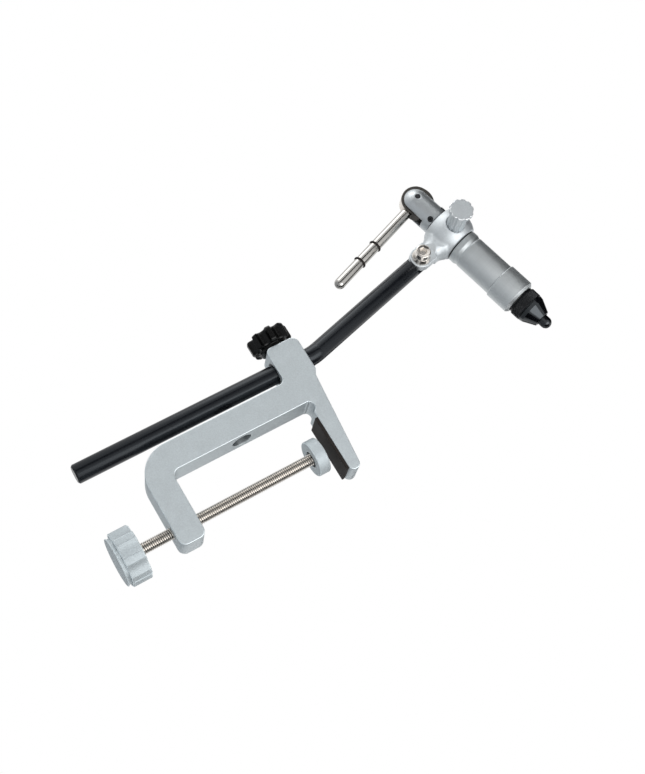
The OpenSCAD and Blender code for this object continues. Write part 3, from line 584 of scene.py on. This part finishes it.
def ground_cam(name, base):
    """Ground steel: a bright rim, painted dark as shade into the slot, and side faces painted dark as shade.
    """
    s = Shader(name)
    fine = s.noise(0.5, 3.0)
    side_shade_at, slot_shade_at = 2.8 * MM, (PIN.dot(JAW_AXIS) - 3) * MM
    # Painted shade: the side faces, in the narrow gaps beside the cheeks, are painted near black.
    side_shade = s.clamp((s.math("ABSOLUTE", s.dot(Y)) - side_shade_at) * (6 / MM))
    # Painted shade: the rim darkens along the jaw axis, into the slot of the housing.
    slot_shade = s.clamp((s.dot(JAW_AXIS) - slot_shade_at) * (0.14 / MM))
    rim = s.mix(slot_shade, s.mix(fine, shade(base, 0.85), shade(base, 1.1)), shade(base, 0.06))
    paint = s.mix(side_shade, rim, shade(base, 0.12))
    return s.finish(paint, s.clamp(0.24 + side_shade * 0.2), 1.0, fine, 0.002)


def moulded(name, base, rough, size=0.3, depth=0.03, level=0.3):
    """Moulded plastic or rubber with a fine grain."""
    s = Shader(name)
    grain = s.noise(size, 3.0, 0.6)
    cloud = s.noise(7.0, 2.0)
    paint = s.mix(s.clamp(grain * 0.5 + cloud * 0.5), shade(base, 0.75), shade(base, 1.35))
    return s.finish(paint, s.clamp(rough + (cloud - 0.5) * 0.15), 0.0, grain, depth, level)


def polished(name, base, rough, along=None, scratch=0.0006, bore=None):
    """Polished plating with faint clouds. along turns its scratches into lines round a direction, scratch is
    their height in millimetres, and within the bore's radius of its axis it is painted dark, as shade in
    thread grooves."""
    s = Shader(name)
    cloud = s.noise(5.0, 3.0)
    paint = s.mix(cloud, shade(base, 0.93), shade(base, 1.05))
    # Painted shade in the thread grooves.
    if bore:
        paint = s.mix(s.inside(*bore), paint, shade(base, 0.22))
    if not scratch:
        return s.finish(paint, rough, 1.0)
    fine = s.lines(along, 0.12) if along else s.noise(0.8, 3.0, 0.6)
    rough = s.clamp(rough + (cloud - 0.5) * 0.08 + (fine - 0.5) * 0.05)
    return s.finish(paint, rough, 1.0, fine, scratch)


FINISHES = {}


def make_finishes(look):
    """Makes every finish from the user's colours."""
    def get(key):
        return tuple(getattr(look, key))

    FINISHES.update({
        # The frame's finish paints a highlight on its rounded edges and shade inside the cross bore.
        "frame_metal": blasted_metal("frame_blasted", get("frame_metal"), cut=Y, bore=CROSS_BORE),
        "knob_metal": blasted_metal("knob_blasted", get("frame_metal"), 0.72, Z),
        "head_metal": blasted_metal("head_blasted", get("head_metal"), 0.54),
        # The cam housing has the head's metal darkened: painted shade.
        "house_metal": blasted_metal("house_blasted", shade(get("head_metal"), 0.86), 0.4),
        "barrel_metal": turned_metal("barrel_turned", get("barrel_metal")),
        "stem_black": satin_black("stem_satin", get("stem_black"), 0.27, level=0.34),
        # The screw's finish paints shade in its thread grooves.
        "screw_steel": polished("screw_steel", get("steel"), 0.2, bore=(Vector(), Z, 2.62)),
        "nickel": polished("nickel", get("nickel"), 0.22, Y),
        "lever_chrome": polished("lever_chrome", get("chrome"), 0.2, scratch=0.0),
        "cam_steel": polished("cam_steel", get("steel"), 0.28),
        "cam": ground_cam("cam_ground", get("steel")),
        "dark_steel": satin_black("dark_steel", (0.03, 0.03, 0.032), 0.4, 0.5),
        "chuck_black": satin_black("chuck_gloss", get("chuck_black"), 0.13, 0.1, 0.6),
        "chuck_knurl": satin_black("chuck_knurl", get("chuck_black"), 0.3, 0.35, 0.2),
        "thumb_metal": blasted_metal("thumb_blasted", shade(get("head_metal"), 1.02), 0.48, Y),
        "knob_plastic": moulded("knob_plastic", get("plastic_black"), 0.24, level=0.25),
        "rubber": moulded("pad_rubber", get("rubber"), 0.7, 0.4, 0.06),
        "brass": turned_metal("brass", (0.6, 0.42, 0.18)),
        "white_plastic": moulded("white_plastic", (0.7, 0.7, 0.66), 0.5),
        "black_plastic": moulded("black_plastic", (0.012, 0.012, 0.012), 0.45),
    })


# Operators: one for each group of like pieces

class Builder(bpy.types.Operator):
    """What the operators share: each builds its pieces from the user's sizes"""
    bl_options = {"REGISTER", "UNDO"}

    def execute(self, context):
        self.build(in_millimetres(context.scene.vise_shape))
        return {"FINISHED"}


class VISE_OT_finishes(Builder):
    """Makes the finishes and puts them on the CAD nodes that stay"""
    bl_idname = "vise.finishes"
    bl_label = "Finishes"

    def build(self, shape):
        make_finishes(bpy.context.scene.vise_finish)
        slots = {p["node"]: p["material_slot"] for p in frame["record"]["subparts"]}
        for node, slot in slots.items():
            round_off(node, FINISHES[slot], 0)
        edges = {"clamp_frame": shape.edge, "stem": 0.25, "set_screws": 0.08, "jaw_pad": 0.3}
        for node, size in edges.items():
            round_off(node, FINISHES[slots[node]], size, node != "clamp_frame")


class VISE_OT_clamp(Builder):
    """Foot, clamp screw with a real thread, and lobed knob"""
    bl_idname = "vise.clamp"
    bl_label = "Clamp screw and knob"

    def build(self, shape):
        low, high = span("clamp_foot", 2)
        foot_r = span("clamp_foot", 0)[1]
        pocket_r, pocket_top = foot_r * 0.47, high - 1.8
        foot = lathe("foot", [
            (0, high, 0), (foot_r, high, 0.6), (foot_r, low, 0.6), (pocket_r, low, 0.3),
            (pocket_r, pocket_top, 0), (0, pocket_top, 0)], UPRIGHT)
        dress(foot, "foot", "frame_metal", FINISHES["knob_metal"], "clamp_foot")

        low, high = span("clamp_screw", 2)
        r, neck_r, tip_r = 3.0, 2.3, 3.9
        neck_low, tip_low = high - 3.4, high - 2.1
        depth, crest, flank = 0.5 * shape.pitch, 0.13, 0.3

        def thread(angle, gr, gs):
            part = (gs / shape.pitch - angle / (2 * math.pi)) % 1.0
            tooth = np.clip((np.abs(part - 0.5) - crest) / flank, 0, 1)
            return gr - np.where((gs < neck_low) & (gr > r - 0.3), depth * tooth, 0), gs
        screw = lathe("screw_thread", [
            (0, low, 0), (r - 0.05, low, 0), (r, low + 0.1, 0), (r, neck_low - 0.2, 0), (neck_r, neck_low, 0),
            (neck_r, tip_low, 0), (tip_r, tip_low, 0.1), (tip_r, high, 0.4), (0, high, 0)],
            UPRIGHT, 40, thread, 0.11, 50)
        dress(screw, "screw", "screw_steel", FINISHES["screw_steel"], "clamp_screw")

        low, high = span("clamp_knob", 2)
        bore, knob_r = 3.05, widest("clamp_knob", UPRIGHT)
        flange_t, groove, flange_r = 0.6, 1.4, 12.3
        hub_r, flange_top = flange_r - 0.5, low + flange_t
        body_low = low + flange_t + groove
        limit = scalloped(knob_r, knob_r * 0.32, knob_r * 1.23, shape.knob_lobes, 1.6)

        def lobed(angle, gr, gs):
            use = (gs > body_low - 0.01) & (gr > knob_r * 0.8)
            return np.where(use, np.minimum(gr, limit(angle) - (knob_r - gr)), gr), gs
        knob = lathe("clamp_knob_body", [
            (bore, high, 0), (knob_r, high, 0.9), (knob_r, body_low, 0.7), (hub_r, body_low, 0.1),
            (hub_r, flange_top, 0.1), (flange_r, flange_top, 0.2), (flange_r, low, 0.25), (0, low, 0)],
            UPRIGHT, 256, lobed, None, 40)
        dress(knob, "screw", "frame_metal", FINISHES["knob_metal"], "clamp_knob")


class VISE_OT_barrel(Builder):
    """Turned barrel with its front ring"""
    bl_idname = "vise.barrel"
    bl_label = "Barrel"

    def build(self, shape):
        bore = SPINDLE_BORE
        low, high = along_head("barrel_sleeve")
        tube_r, collar_r = 9.35, widest("barrel_sleeve", HEAD)
        collar_end = low + 3.0
        sleeve = lathe("barrel_tube", [
            (bore, low, 0), (collar_r, low, 0.35), (collar_r, collar_end, 0.3),
            (tube_r - 0.35, collar_end + 1.9, 0.8), (tube_r, collar_end + 2.5, 0.3), (tube_r, high, 0.15),
            (bore, high, 0)], HEAD, 192)
        dress(sleeve, "spindle", "barrel_metal", FINISHES["barrel_metal"], "barrel_sleeve")

        low, high = along_head("barrel_front_ring")
        ring_r, seam, chamfer = widest("barrel_front_ring", HEAD), 0.35, 1.3
        ring = lathe("barrel_ring", [
            (bore, low, 0), (ring_r - seam, low, 0.1), (ring_r, low + seam, 0.15),
            (ring_r, high - chamfer, 0.25), (ring_r - chamfer, high, 0.2), (bore, high, 0)], HEAD, 192)
        dress(ring, "spindle", "barrel_metal", FINISHES["barrel_metal"], "barrel_front_ring")


class VISE_OT_chuck(Builder):
    """Knurled collar, nose cone and the two split jaws"""
    bl_idname = "vise.chuck"
    bl_label = "Chuck"

    def build(self, shape):
        low, high = along_head("knurled_collar")
        knurl_r = widest("knurled_collar", HEAD)
        teeth = shape.knurl_teeth
        start = low + 1.1
        bore, neck_r, inner_r = SPINDLE_BORE, 7.9, 7.3
        groove, depth = 0.45, 0.28

        def diamonds(angle, gr, gs):
            rise = (gs - start) * teeth / (2 * math.pi * knurl_r)
            u = (angle * teeth / (2 * math.pi) + rise) % 1.0
            v = (angle * teeth / (2 * math.pi) - rise) % 1.0
            cut = np.maximum(np.abs(u - 0.5), np.abs(v - 0.5)) * 2
            cut = np.clip((cut - groove) / (1 - groove), 0, 1) * depth
            use = (gs > start + 0.5) & (gs < high - 0.5) & (gr > knurl_r - 0.2)
            return gr - np.where(use, cut, 0), gs
        collar = lathe("knurled_ring", [
            (bore, low, 0), (neck_r, low, 0.2), (neck_r, start, 0.2), (knurl_r - 0.1, start, 0.4),
            (knurl_r, start + 0.45, 0), (knurl_r, high - 0.45, 0), (knurl_r - 0.1, high, 0.4),
            (inner_r, high, 0.1), (inner_r, start, 0), (bore, start, 0)], HEAD, teeth * 8, diamonds, 0.13, 50)
        dress(collar, "collar", "chuck_black", FINISHES["chuck_knurl"], "knurled_collar")

        tail, front = along_head("nose_cone")
        rear, cone = high + 0.2, front - 6.8
        shoulder, tail_r, tail_bore, rim, hole = knurl_r - 0.1, 7.2, 6.05, 4.65, 3.7
        nose = lathe("nose", [
            (tail_bore, tail, 0), (tail_r, tail, 0.1), (tail_r, rear, 0), (shoulder, rear, 0.25),
            (shoulder - 0.4, cone, 0.5), (rim, front, 0.45), (hole, front, 0.3), (hole, front - 1.5, 0),
            (tail_bore, cone + 0.9, 0)], HEAD, 192)
        dress(nose, "nose", "chuck_black", FINISHES["chuck_black"], "nose_cone")

        rod_end, tip = along_head("jaw_left")
        r, leg_r, head_r, gap = 3.2, 4.0, widest("jaw_left", HEAD), 0.05
        grip_r, head_front = r + 0.62, front - 1.9
        line = np.array([(rod_end, leg_r), (cone, leg_r), (cone + 0.01, head_r), (cone + 1.4, head_r),
                         (head_front, grip_r), (head_front + 0.01, r), (tip, r)])
        for node, side in (("jaw_left", -1), ("jaw_right", 1)):
            def half(x, y, z):
                out = np.hypot(y, z) - np.interp(x, line[:, 0], line[:, 1])
                dome = np.sqrt(np.maximum(x - tip + r, 0) ** 2 + y * y + z * z) - r
                out = np.where(x > tip - r - 1, dome, out)
                out = smooth_max(out, rod_end - x, 0.2)
                return smooth_max(out, gap - side * y, 0.22)
            jaw = net(node + "_half", half, (rod_end, -head_r, -head_r), (tip, head_r, head_r), 0.28, HEAD)
            dress(jaw, node, "chuck_black", FINISHES["chuck_black"], node)


class VISE_OT_head(Builder):
    """Ball head with neck and ear, as a soft-edged sculpted solid"""
    bl_idname = "vise.head"
    bl_label = "Ball head"

    def build(self, shape):
        ball_r, neck_r, ear_r = shape.ball_r, shape.neck_r, shape.ear_r
        front = along_head("front_washer")[0] - 0.05
        rear = along_head("rear_washer")[1] + 0.05
        ear_back, ear_front, ear_top = -0.55, -5.05, 7
        edge, neck_end = 0.5, 5
        flare_low, flare_l = -15.8, 4.4
        step_r, slope_run, slope_rise, slant = 8.3, 2.6, 1.75, 0.9
        bushing_bore, thumb_bore, tilt_bore = 7.3, 2.56, 2.56

        def housing(x, y, z):
            ball = np.sqrt(x * x + y * y + z * z) - ball_r
            u, down = x - EAR_AT, z + EAR_L
            from_tilt = np.hypot(u, down)
            from_thumb = np.hypot(x - THUMB_AT, z)
            flare = shape.neck_flare * np.clip((z - flare_low) / flare_l, 0, 1) ** 1.3
            neck = smooth_max(np.hypot(u, y) - neck_r - flare, np.maximum(neck_end - down, z), edge)
            floor = ear_front - slope_rise * np.clip((from_tilt - shape.spot_r) / slope_run, 0, 1)
            neck = smooth_max(neck, (floor - y) * slant, 0.2)
            neck = smooth_max(neck, -np.maximum(from_tilt - step_r, ear_back - y), edge)
            tongue = np.where(down > 0, np.abs(u), from_tilt) - ear_r
            tongue = smooth_max(tongue, down - ear_top, edge)
            tongue = smooth_max(tongue, np.maximum(y - ear_back, ear_front - y), edge * 1.3)
            whole = smooth_min(smooth_min(ball, neck, shape.blend), tongue, 0.8)
            whole = np.where((y < floor) & (from_tilt < shape.spot_r + slope_run),
                             smooth_max(whole, (floor - y) * slant, 0.15), whole)
            whole = smooth_max(whole, np.maximum(x - front, rear - x), edge)
            whole = smooth_max(whole, bushing_bore - np.hypot(y, z), 0.3)
            recess = np.maximum(from_thumb - shape.recess_r, y + shape.recess_floor)
            whole = smooth_max(whole, -recess, 0.4)
            whole = smooth_max(whole, -np.maximum(from_thumb - thumb_bore, y), 0.2)
            return smooth_max(whole, tilt_bore - from_tilt, 0.3)
        head = net("ball_head", housing, (-ball_r, -ball_r, -EAR_L - ear_r), (ball_r, ball_r, ball_r),
                   shape.net_step, HEAD)
        dress(head, "head", "head_metal", FINISHES["head_metal"], "head_housing")


class VISE_OT_cam(Builder):
    """Cam housing with its round end, the cam in its slot, and the lever with two rings"""
    bl_idname = "vise.cam"
    bl_label = "Cam and lever"

    def build(self, shape):
        house_rear, house_front = along_head("cam_housing")
        house_r = PIN_AT - house_rear
        spindle_rear = along_head("spindle")[0]
        slot, slot_end = 3.3, spindle_rear - 0.9
        screw_at = sum(along_head("set_screws")) / 2
        screw_turns = (math.radians(36), math.radians(126))
        seat_bore, rod_bore, pin_bore, screw_bore = 6.02, 2.55, 1.52, 1.52

        def cheeks(x, y, z):
            whole = np.sqrt(np.minimum(x - PIN_AT, 0) ** 2 + y * y + z * z) - house_r
            whole = smooth_max(whole, x - house_front, 0.4)
            whole = smooth_max(whole, -np.maximum(np.abs(y) - slot, x - slot_end), 0.3)
            whole = smooth_max(whole, -np.maximum(np.hypot(y, z) - seat_bore, spindle_rear - x), 0.2)
            whole = smooth_max(whole, -np.maximum(np.hypot(y, z) - rod_bore, slot_end - 1 - x), 0.2)
            whole = smooth_max(whole, pin_bore - np.hypot(x - PIN_AT, z), 0.3)
            for turn in screw_turns:
                across = y * math.cos(turn) + z * math.sin(turn)
                outward = -y * math.sin(turn) + z * math.cos(turn)
                hole = np.maximum(np.hypot(x - screw_at, across) - screw_bore, -outward)
                whole = smooth_max(whole, -hole, 0.25)
            return whole
        house = net("cam_cheeks", cheeks, (house_rear, -house_r, -house_r), (house_front, house_r, house_r),
                    shape.net_step * 0.8, HEAD)
        # The housing's finish is the head's metal with painted shade.
        dress(house, "spindle", "head_metal", FINISHES["house_metal"], "cam_housing")

        half_w, cam_bore, socket_r, socket_floor = 3.1, 1.56, 2.02, 3.5
        full, low, heel = 10.4, 9.2, 8.3
        spots = [0, 100, 130, 200, 290, 340, 360]
        radii = [full, low, low, heel, heel, full, full]
        slant = math.radians(6)
        toward = Vector((math.sin(slant), 0, -math.cos(slant)))

        def cam(x, y, z):
            u = x - PIN_AT
            turn = np.degrees(np.arctan2(z, u)) % 360
            whole = smooth_max(np.hypot(u, z) - np.interp(turn, spots, radii), np.abs(y) - half_w, 0.35)
            whole = smooth_max(whole, cam_bore - np.hypot(u, z), 0.15)
            out = u * toward.x + z * toward.z
            side = np.hypot(y, u * toward.z - z * toward.x)
            return smooth_max(whole, -np.maximum(side - socket_r, socket_floor - out), 0.15)
        disc = net("cam_disc", cam, (PIN_AT - full, -half_w, -full), (PIN_AT + full, half_w, full), 0.33,
                   HEAD)
        dress(disc, "lever", "cam_steel", FINISHES["cam"], "cam")

        r, stub_r, stub_end, root, tip = 3.0, 2.0, 3.8, 8.55, 69.2
        groove_r, half_groove, cord_r = r - 0.7, 0.66, 0.63
        lever = facing(PIN, HEAD.to_3x3() @ toward, Y)
        corners = [(0, stub_end, 0), (stub_r, stub_end, 0), (stub_r, root, 0), (r - 0.35, root, 0.1),
                   (r, root + 0.5, 0.15)]
        rings = (36.0, 49.2)
        for at in rings:
            corners += [(r, at - half_groove, 0.12), (groove_r, at - half_groove, 0),
                        (groove_r, at + half_groove, 0), (r, at + half_groove, 0.12)]
        corners += [(r * math.cos(a), tip - r + r * math.sin(a), 0)
                    for a in np.linspace(0, math.pi / 2, 13)[:-1]]
        corners += [(0, tip, 0)]
        bar = lathe("lever_bar", corners, lever, 128)
        dress(bar, "lever", "lever_chrome", FINISHES["lever_chrome"], "lever_rod")
        for number, at in enumerate(rings, 1):
            loop = [(r - 0.03 + cord_r * math.cos(a), at + cord_r * math.sin(a), 0)
                    for a in np.linspace(0, 2 * math.pi, 17)]
            ring = lathe(f"lever_ring_{number}", loop, lever, 96)
            dress(ring, "lever", "rubber", FINISHES["rubber"], *(["lever_rings"] if number == 1 else []))


class VISE_OT_knobs(Builder):
    """Scalloped thumb knob and the star knob that locks the stem"""
    bl_idname = "vise.knobs"
    bl_label = "Knobs"

    def build(self, shape):
        low, high = span("thumb_knob", 1)
        base, end = -high, -low
        seat = base + 0.12
        r, shank, bore = 6.5, 4.8, 2.52
        step = end - 2.6
        scallop = 2 * math.pi * r / shape.thumb_scallops * 0.3
        head_limit = scalloped(r, scallop, r + scallop * 0.55, shape.thumb_scallops, 0.25)
        shank_limit = scalloped(shank, 1.0, shank + 0.6, shape.thumb_scallops, 0.2)

        def fluted(angle, gr, gs):
            deep = np.clip((gs - step + 2.3) / 1.2, 0, 1)
            limit = shank_limit(angle) * (1 - deep) + head_limit(angle) * deep
            outer = shank * (1 - deep) + r * deep
            use = (gr > 2.6) | (gs > step)
            return np.where(use, gr * np.minimum(limit / outer, 1), gr), gs
        thumb = lathe("thumb_grip", [
            (0, step - 0.1, 0), (bore, step - 0.1, 0), (bore, seat, 0.1), (shank, seat, 0.3),
            (shank, step - 1.6, 1.0), (r - 0.4, step, 0.3), (r, step + 0.4, 0.2), (r, end, 0.45),
            (0, end, 0)], THUMB_SCREW, 400, fluted, 0.35, 40)
        dress(thumb, "thumb", "head_metal", FINISHES["thumb_metal"], "thumb_knob")

        low, high = span("lock_knob", 0)
        base, end = -high, -low
        r, hub = 11.25, 7.5
        lobe = r * 0.27
        star_at, bore_end = base + 1.8, end - 1.9
        star_limit = scalloped(r, lobe, r + lobe * 0.12, shape.star_lobes, 0.4, math.radians(21))

        def star(angle, gr, gs):
            use = (gs > star_at - 0.01) & (gr > hub - 0.2)
            return np.where(use, np.minimum(gr, star_limit(angle) - (r - gr)), gr), gs
        knob = lathe("star_knob", [
            (0, bore_end, 0), (bore, bore_end, 0), (bore, base, 0.1), (hub, base, 0.4), (hub, star_at, 0.3),
            (r, star_at, 1.3), (r, end, 1.5), (0, end, 0)], LOCK_SCREW, 360, star, 0.6, 50)
        dress(knob, "lock", "knob_plastic", FINISHES["knob_plastic"], "lock_knob")

        low, high = span("tilt_screw", 1)
        r, head_l, shaft_r, socket_r = 4.0, 4.0, 2.5, 2.24
        end = -low
        head_low, socket_low = end - head_l, end - head_l / 2
        flat = socket_r * math.cos(math.pi / 6)

        def socket(angle, gr, gs):
            part = (angle + math.pi / 6) % (math.pi / 3) - math.pi / 6
            use = (gs > socket_low - 0.3) & (gr < 2.6) & (gr > 1.0)
            return np.where(use, gr * flat / np.cos(part) / socket_r, gr), gs
        screw = lathe("tilt_bolt", [
            (0, -high, 0), (shaft_r, -high, 0.2), (shaft_r, head_low, 0), (r, head_low, 0.15), (r, end, 0.55),
            (socket_r, end - 0.3, 0.18), (socket_r, socket_low, 0), (0, socket_low, 0)],
            TILT_SCREW, 192, socket, 0.4, 40)
        dress(screw, "stem", "nickel", FINISHES["nickel"], "tilt_screw")

        low, high = span("tilt_cone_washer", 1)
        wide, bore, rim_t = widest("tilt_cone_washer", TILT_SCREW), 2.55, 0.5
        cone = lathe("cone_washer", [
            (bore, -high, 0), (wide, -high, 0.1), (wide, -high + rim_t, 0.25), (r + 0.1, -low, 0.15),
            (bore, -low, 0)], TILT_SCREW, 160)
        dress(cone, "stem", "nickel", FINISHES["nickel"], "tilt_cone_washer")


# The stage, in metres
CAMERA_AT = Vector((0.1413, -0.5700, -0.1753))
CAMERA_RIGHT = Vector((0.5141, -0.1277, 0.8481))
CAMERA_DOWN = Vector((0.8125, 0.3893, -0.4339))
FOCAL_PIXELS = 1244.87
FRAME_HEIGHT = 774
SENSOR = 36
MIDDLE = Vector((-0.05, 0, 0.06))
FLOOR_R, FLOOR_Z, FLOOR_SIDES = 0.6, -0.26, 96
WORLD_LEVEL = 0.7
# Lamps: name, direction from the object, distance, width and height, level (1 is the white world's)
LAMPS = (
    ("key", (0.72, -0.66, 0.12), 0.7, 0.44, 0.62, 2.9),
    ("left", (-0.93, -0.35, 0.17), 0.7, 0.40, 0.40, 2.45),
)
# Dark cards that metal mirrors: name, direction, distance, width and height, grey
CARDS = (
    ("card_front", (-0.22, -0.97, 0.02), 0.45, 0.17, 0.62, 0.02),
    ("card_top", (-0.15, -0.15, 0.97), 0.40, 0.56, 0.56, 0.03),
    ("card_side", (0.93, 0.10, -0.15), 0.45, 0.36, 0.70, 0.03),
    ("card_back", (0.40, 0.87, 0.28), 0.50, 0.28, 0.30, 0.08),
)


class VISE_OT_stage(Builder):
    """Camera at the photograph's angle, pale floor and soft lights"""
    bl_idname = "vise.stage"
    bl_label = "Stage"

    def build(self, shape):
        scene = bpy.context.scene
        make_camera(scene)
        make_floor()
        make_world(scene)
        make_lamps(scene)
        make_cards()
        scene.view_settings.view_transform = "Standard"


def make_camera(scene):
    """The camera that was fitted to the photograph."""
    data = bpy.data.cameras.new("camera")
    data.sensor_width = SENSOR
    data.lens = FOCAL_PIXELS / FRAME_HEIGHT * SENSOR
    data.clip_start = 0.01
    data.clip_end = 20
    camera = bpy.data.objects.new("camera", data)
    scene.collection.objects.link(camera)
    right = CAMERA_RIGHT.normalized()
    up = -(CAMERA_DOWN - CAMERA_DOWN.dot(right) * right).normalized()
    turn = Matrix((right, up, right.cross(up))).transposed().to_4x4()
    turn.translation = CAMERA_AT
    camera.matrix_world = turn
    scene.camera = camera


def make_floor():
    """A pale round floor below the vise, outside the photograph's frame."""
    s = Shader("floor_white")
    s.finish(s.mix(s.noise(60.0), (0.68, 0.68, 0.68), (0.72, 0.72, 0.72)), 0.8, 0.0)
    turns = (2 * math.pi * k / FLOOR_SIDES for k in range(FLOOR_SIDES))
    rim = [(FLOOR_R * math.cos(a), FLOOR_R * math.sin(a), FLOOR_Z) for a in turns]
    floor = make_object("floor", np.array(rim) / MM, [list(range(FLOOR_SIDES))])
    floor.data.materials.append(s.material)


def make_world(scene):
    """White where the camera, mirroring metal and glass see it, and softer where it lights the object."""
    scene.world = bpy.data.worlds.new("world")
    s = Nodes(scene.world)
    seen = s.math("MAXIMUM", s.node("ShaderNodeLightPath", output="Is Camera Ray"),
                  s.node("ShaderNodeLightPath", output="Is Glossy Ray"))
    seen = s.math("MAXIMUM", seen, s.node("ShaderNodeLightPath", output="Is Transmission Ray"))
    white = s.node("ShaderNodeBackground", None, {"Color": (1, 1, 1, 1), "Strength": 1.0})
    soft = s.node("ShaderNodeBackground", None, {"Color": (0.9, 0.95, 1, 1), "Strength": WORLD_LEVEL})
    sky = s.node("ShaderNodeMixShader", None, {0: seen, 1: soft, 2: white})
    s.node("ShaderNodeOutputWorld", None, {"Surface": sky})


def look_in(toward, away):
    """Matrix at a distance from the object's middle, facing it."""
    spot = Vector(toward).normalized() * away
    m = (-spot).to_track_quat("-Z", "Y").to_matrix().to_4x4()
    m.translation = MIDDLE + spot
    return m


def make_lamps(scene):
    """Two soft lamps."""
    for name, toward, away, wide, tall, level in LAMPS:
        data = bpy.data.lights.new(name, "AREA")
        data.shape = "RECTANGLE"
        data.size, data.size_y = wide, tall
        data.energy = level * math.pi * wide * tall
        lamp = bpy.data.objects.new(name, data)
        lamp.matrix_world = look_in(toward, away)
        scene.collection.objects.link(lamp)


def make_cards():
    """Dark cards that the camera doesn't see."""
    for name, toward, away, wide, tall, grey in CARDS:
        s = Shader(name + "_cloth")
        cloth = (grey, grey, grey)
        s.finish(s.mix(s.noise(1.5), shade(cloth, 0.9), shade(cloth, 1.1)), 0.9, 0.0, level=0.0)
        half = np.array([(-wide, -tall, 0), (wide, -tall, 0), (wide, tall, 0), (-wide, tall, 0)]) / 2
        card = make_object(name, half / MM, [[0, 1, 2, 3]])
        card.matrix_world = look_in(toward, away)
        card.data.materials.append(s.material)
        card.visible_camera = False


class VISE_PT_panel(bpy.types.Panel):
    bl_label = "Fly Tying Vise"
    bl_idname = "VISE_PT_panel"
    bl_space_type = "VIEW_3D"
    bl_region_type = "UI"
    bl_category = "Vise"

    def draw(self, context):
        for group in (context.scene.vise_shape, context.scene.vise_finish):
            for key in group.__annotations__:
                self.layout.prop(group, key)
        for operator in OPERATORS:
            self.layout.operator(operator.bl_idname)


OPERATORS = (VISE_OT_finishes, VISE_OT_clamp, VISE_OT_barrel, VISE_OT_chuck, VISE_OT_head, VISE_OT_cam,
             VISE_OT_knobs, VISE_OT_stage)
CLASSES = (ViseShape, ViseFinish, *OPERATORS, VISE_PT_panel)


def register():
    """Adds the panel, the operators and the user's sizes and colours."""
    for kind in CLASSES:
        bpy.utils.register_class(kind)
    bpy.types.Scene.vise_shape = PointerProperty(type=ViseShape)
    bpy.types.Scene.vise_finish = PointerProperty(type=ViseFinish)


def unregister():
    """Takes them away again."""
    del bpy.types.Scene.vise_finish
    del bpy.types.Scene.vise_shape
    for kind in reversed(CLASSES):
        bpy.utils.unregister_class(kind)


def main():
    """Builds the vise and its stage."""
    register()
    for operator in OPERATORS:
        group, name = operator.bl_idname.split(".")
        getattr(getattr(bpy.ops, group), name)()


if __name__ == "__main__":
    main()
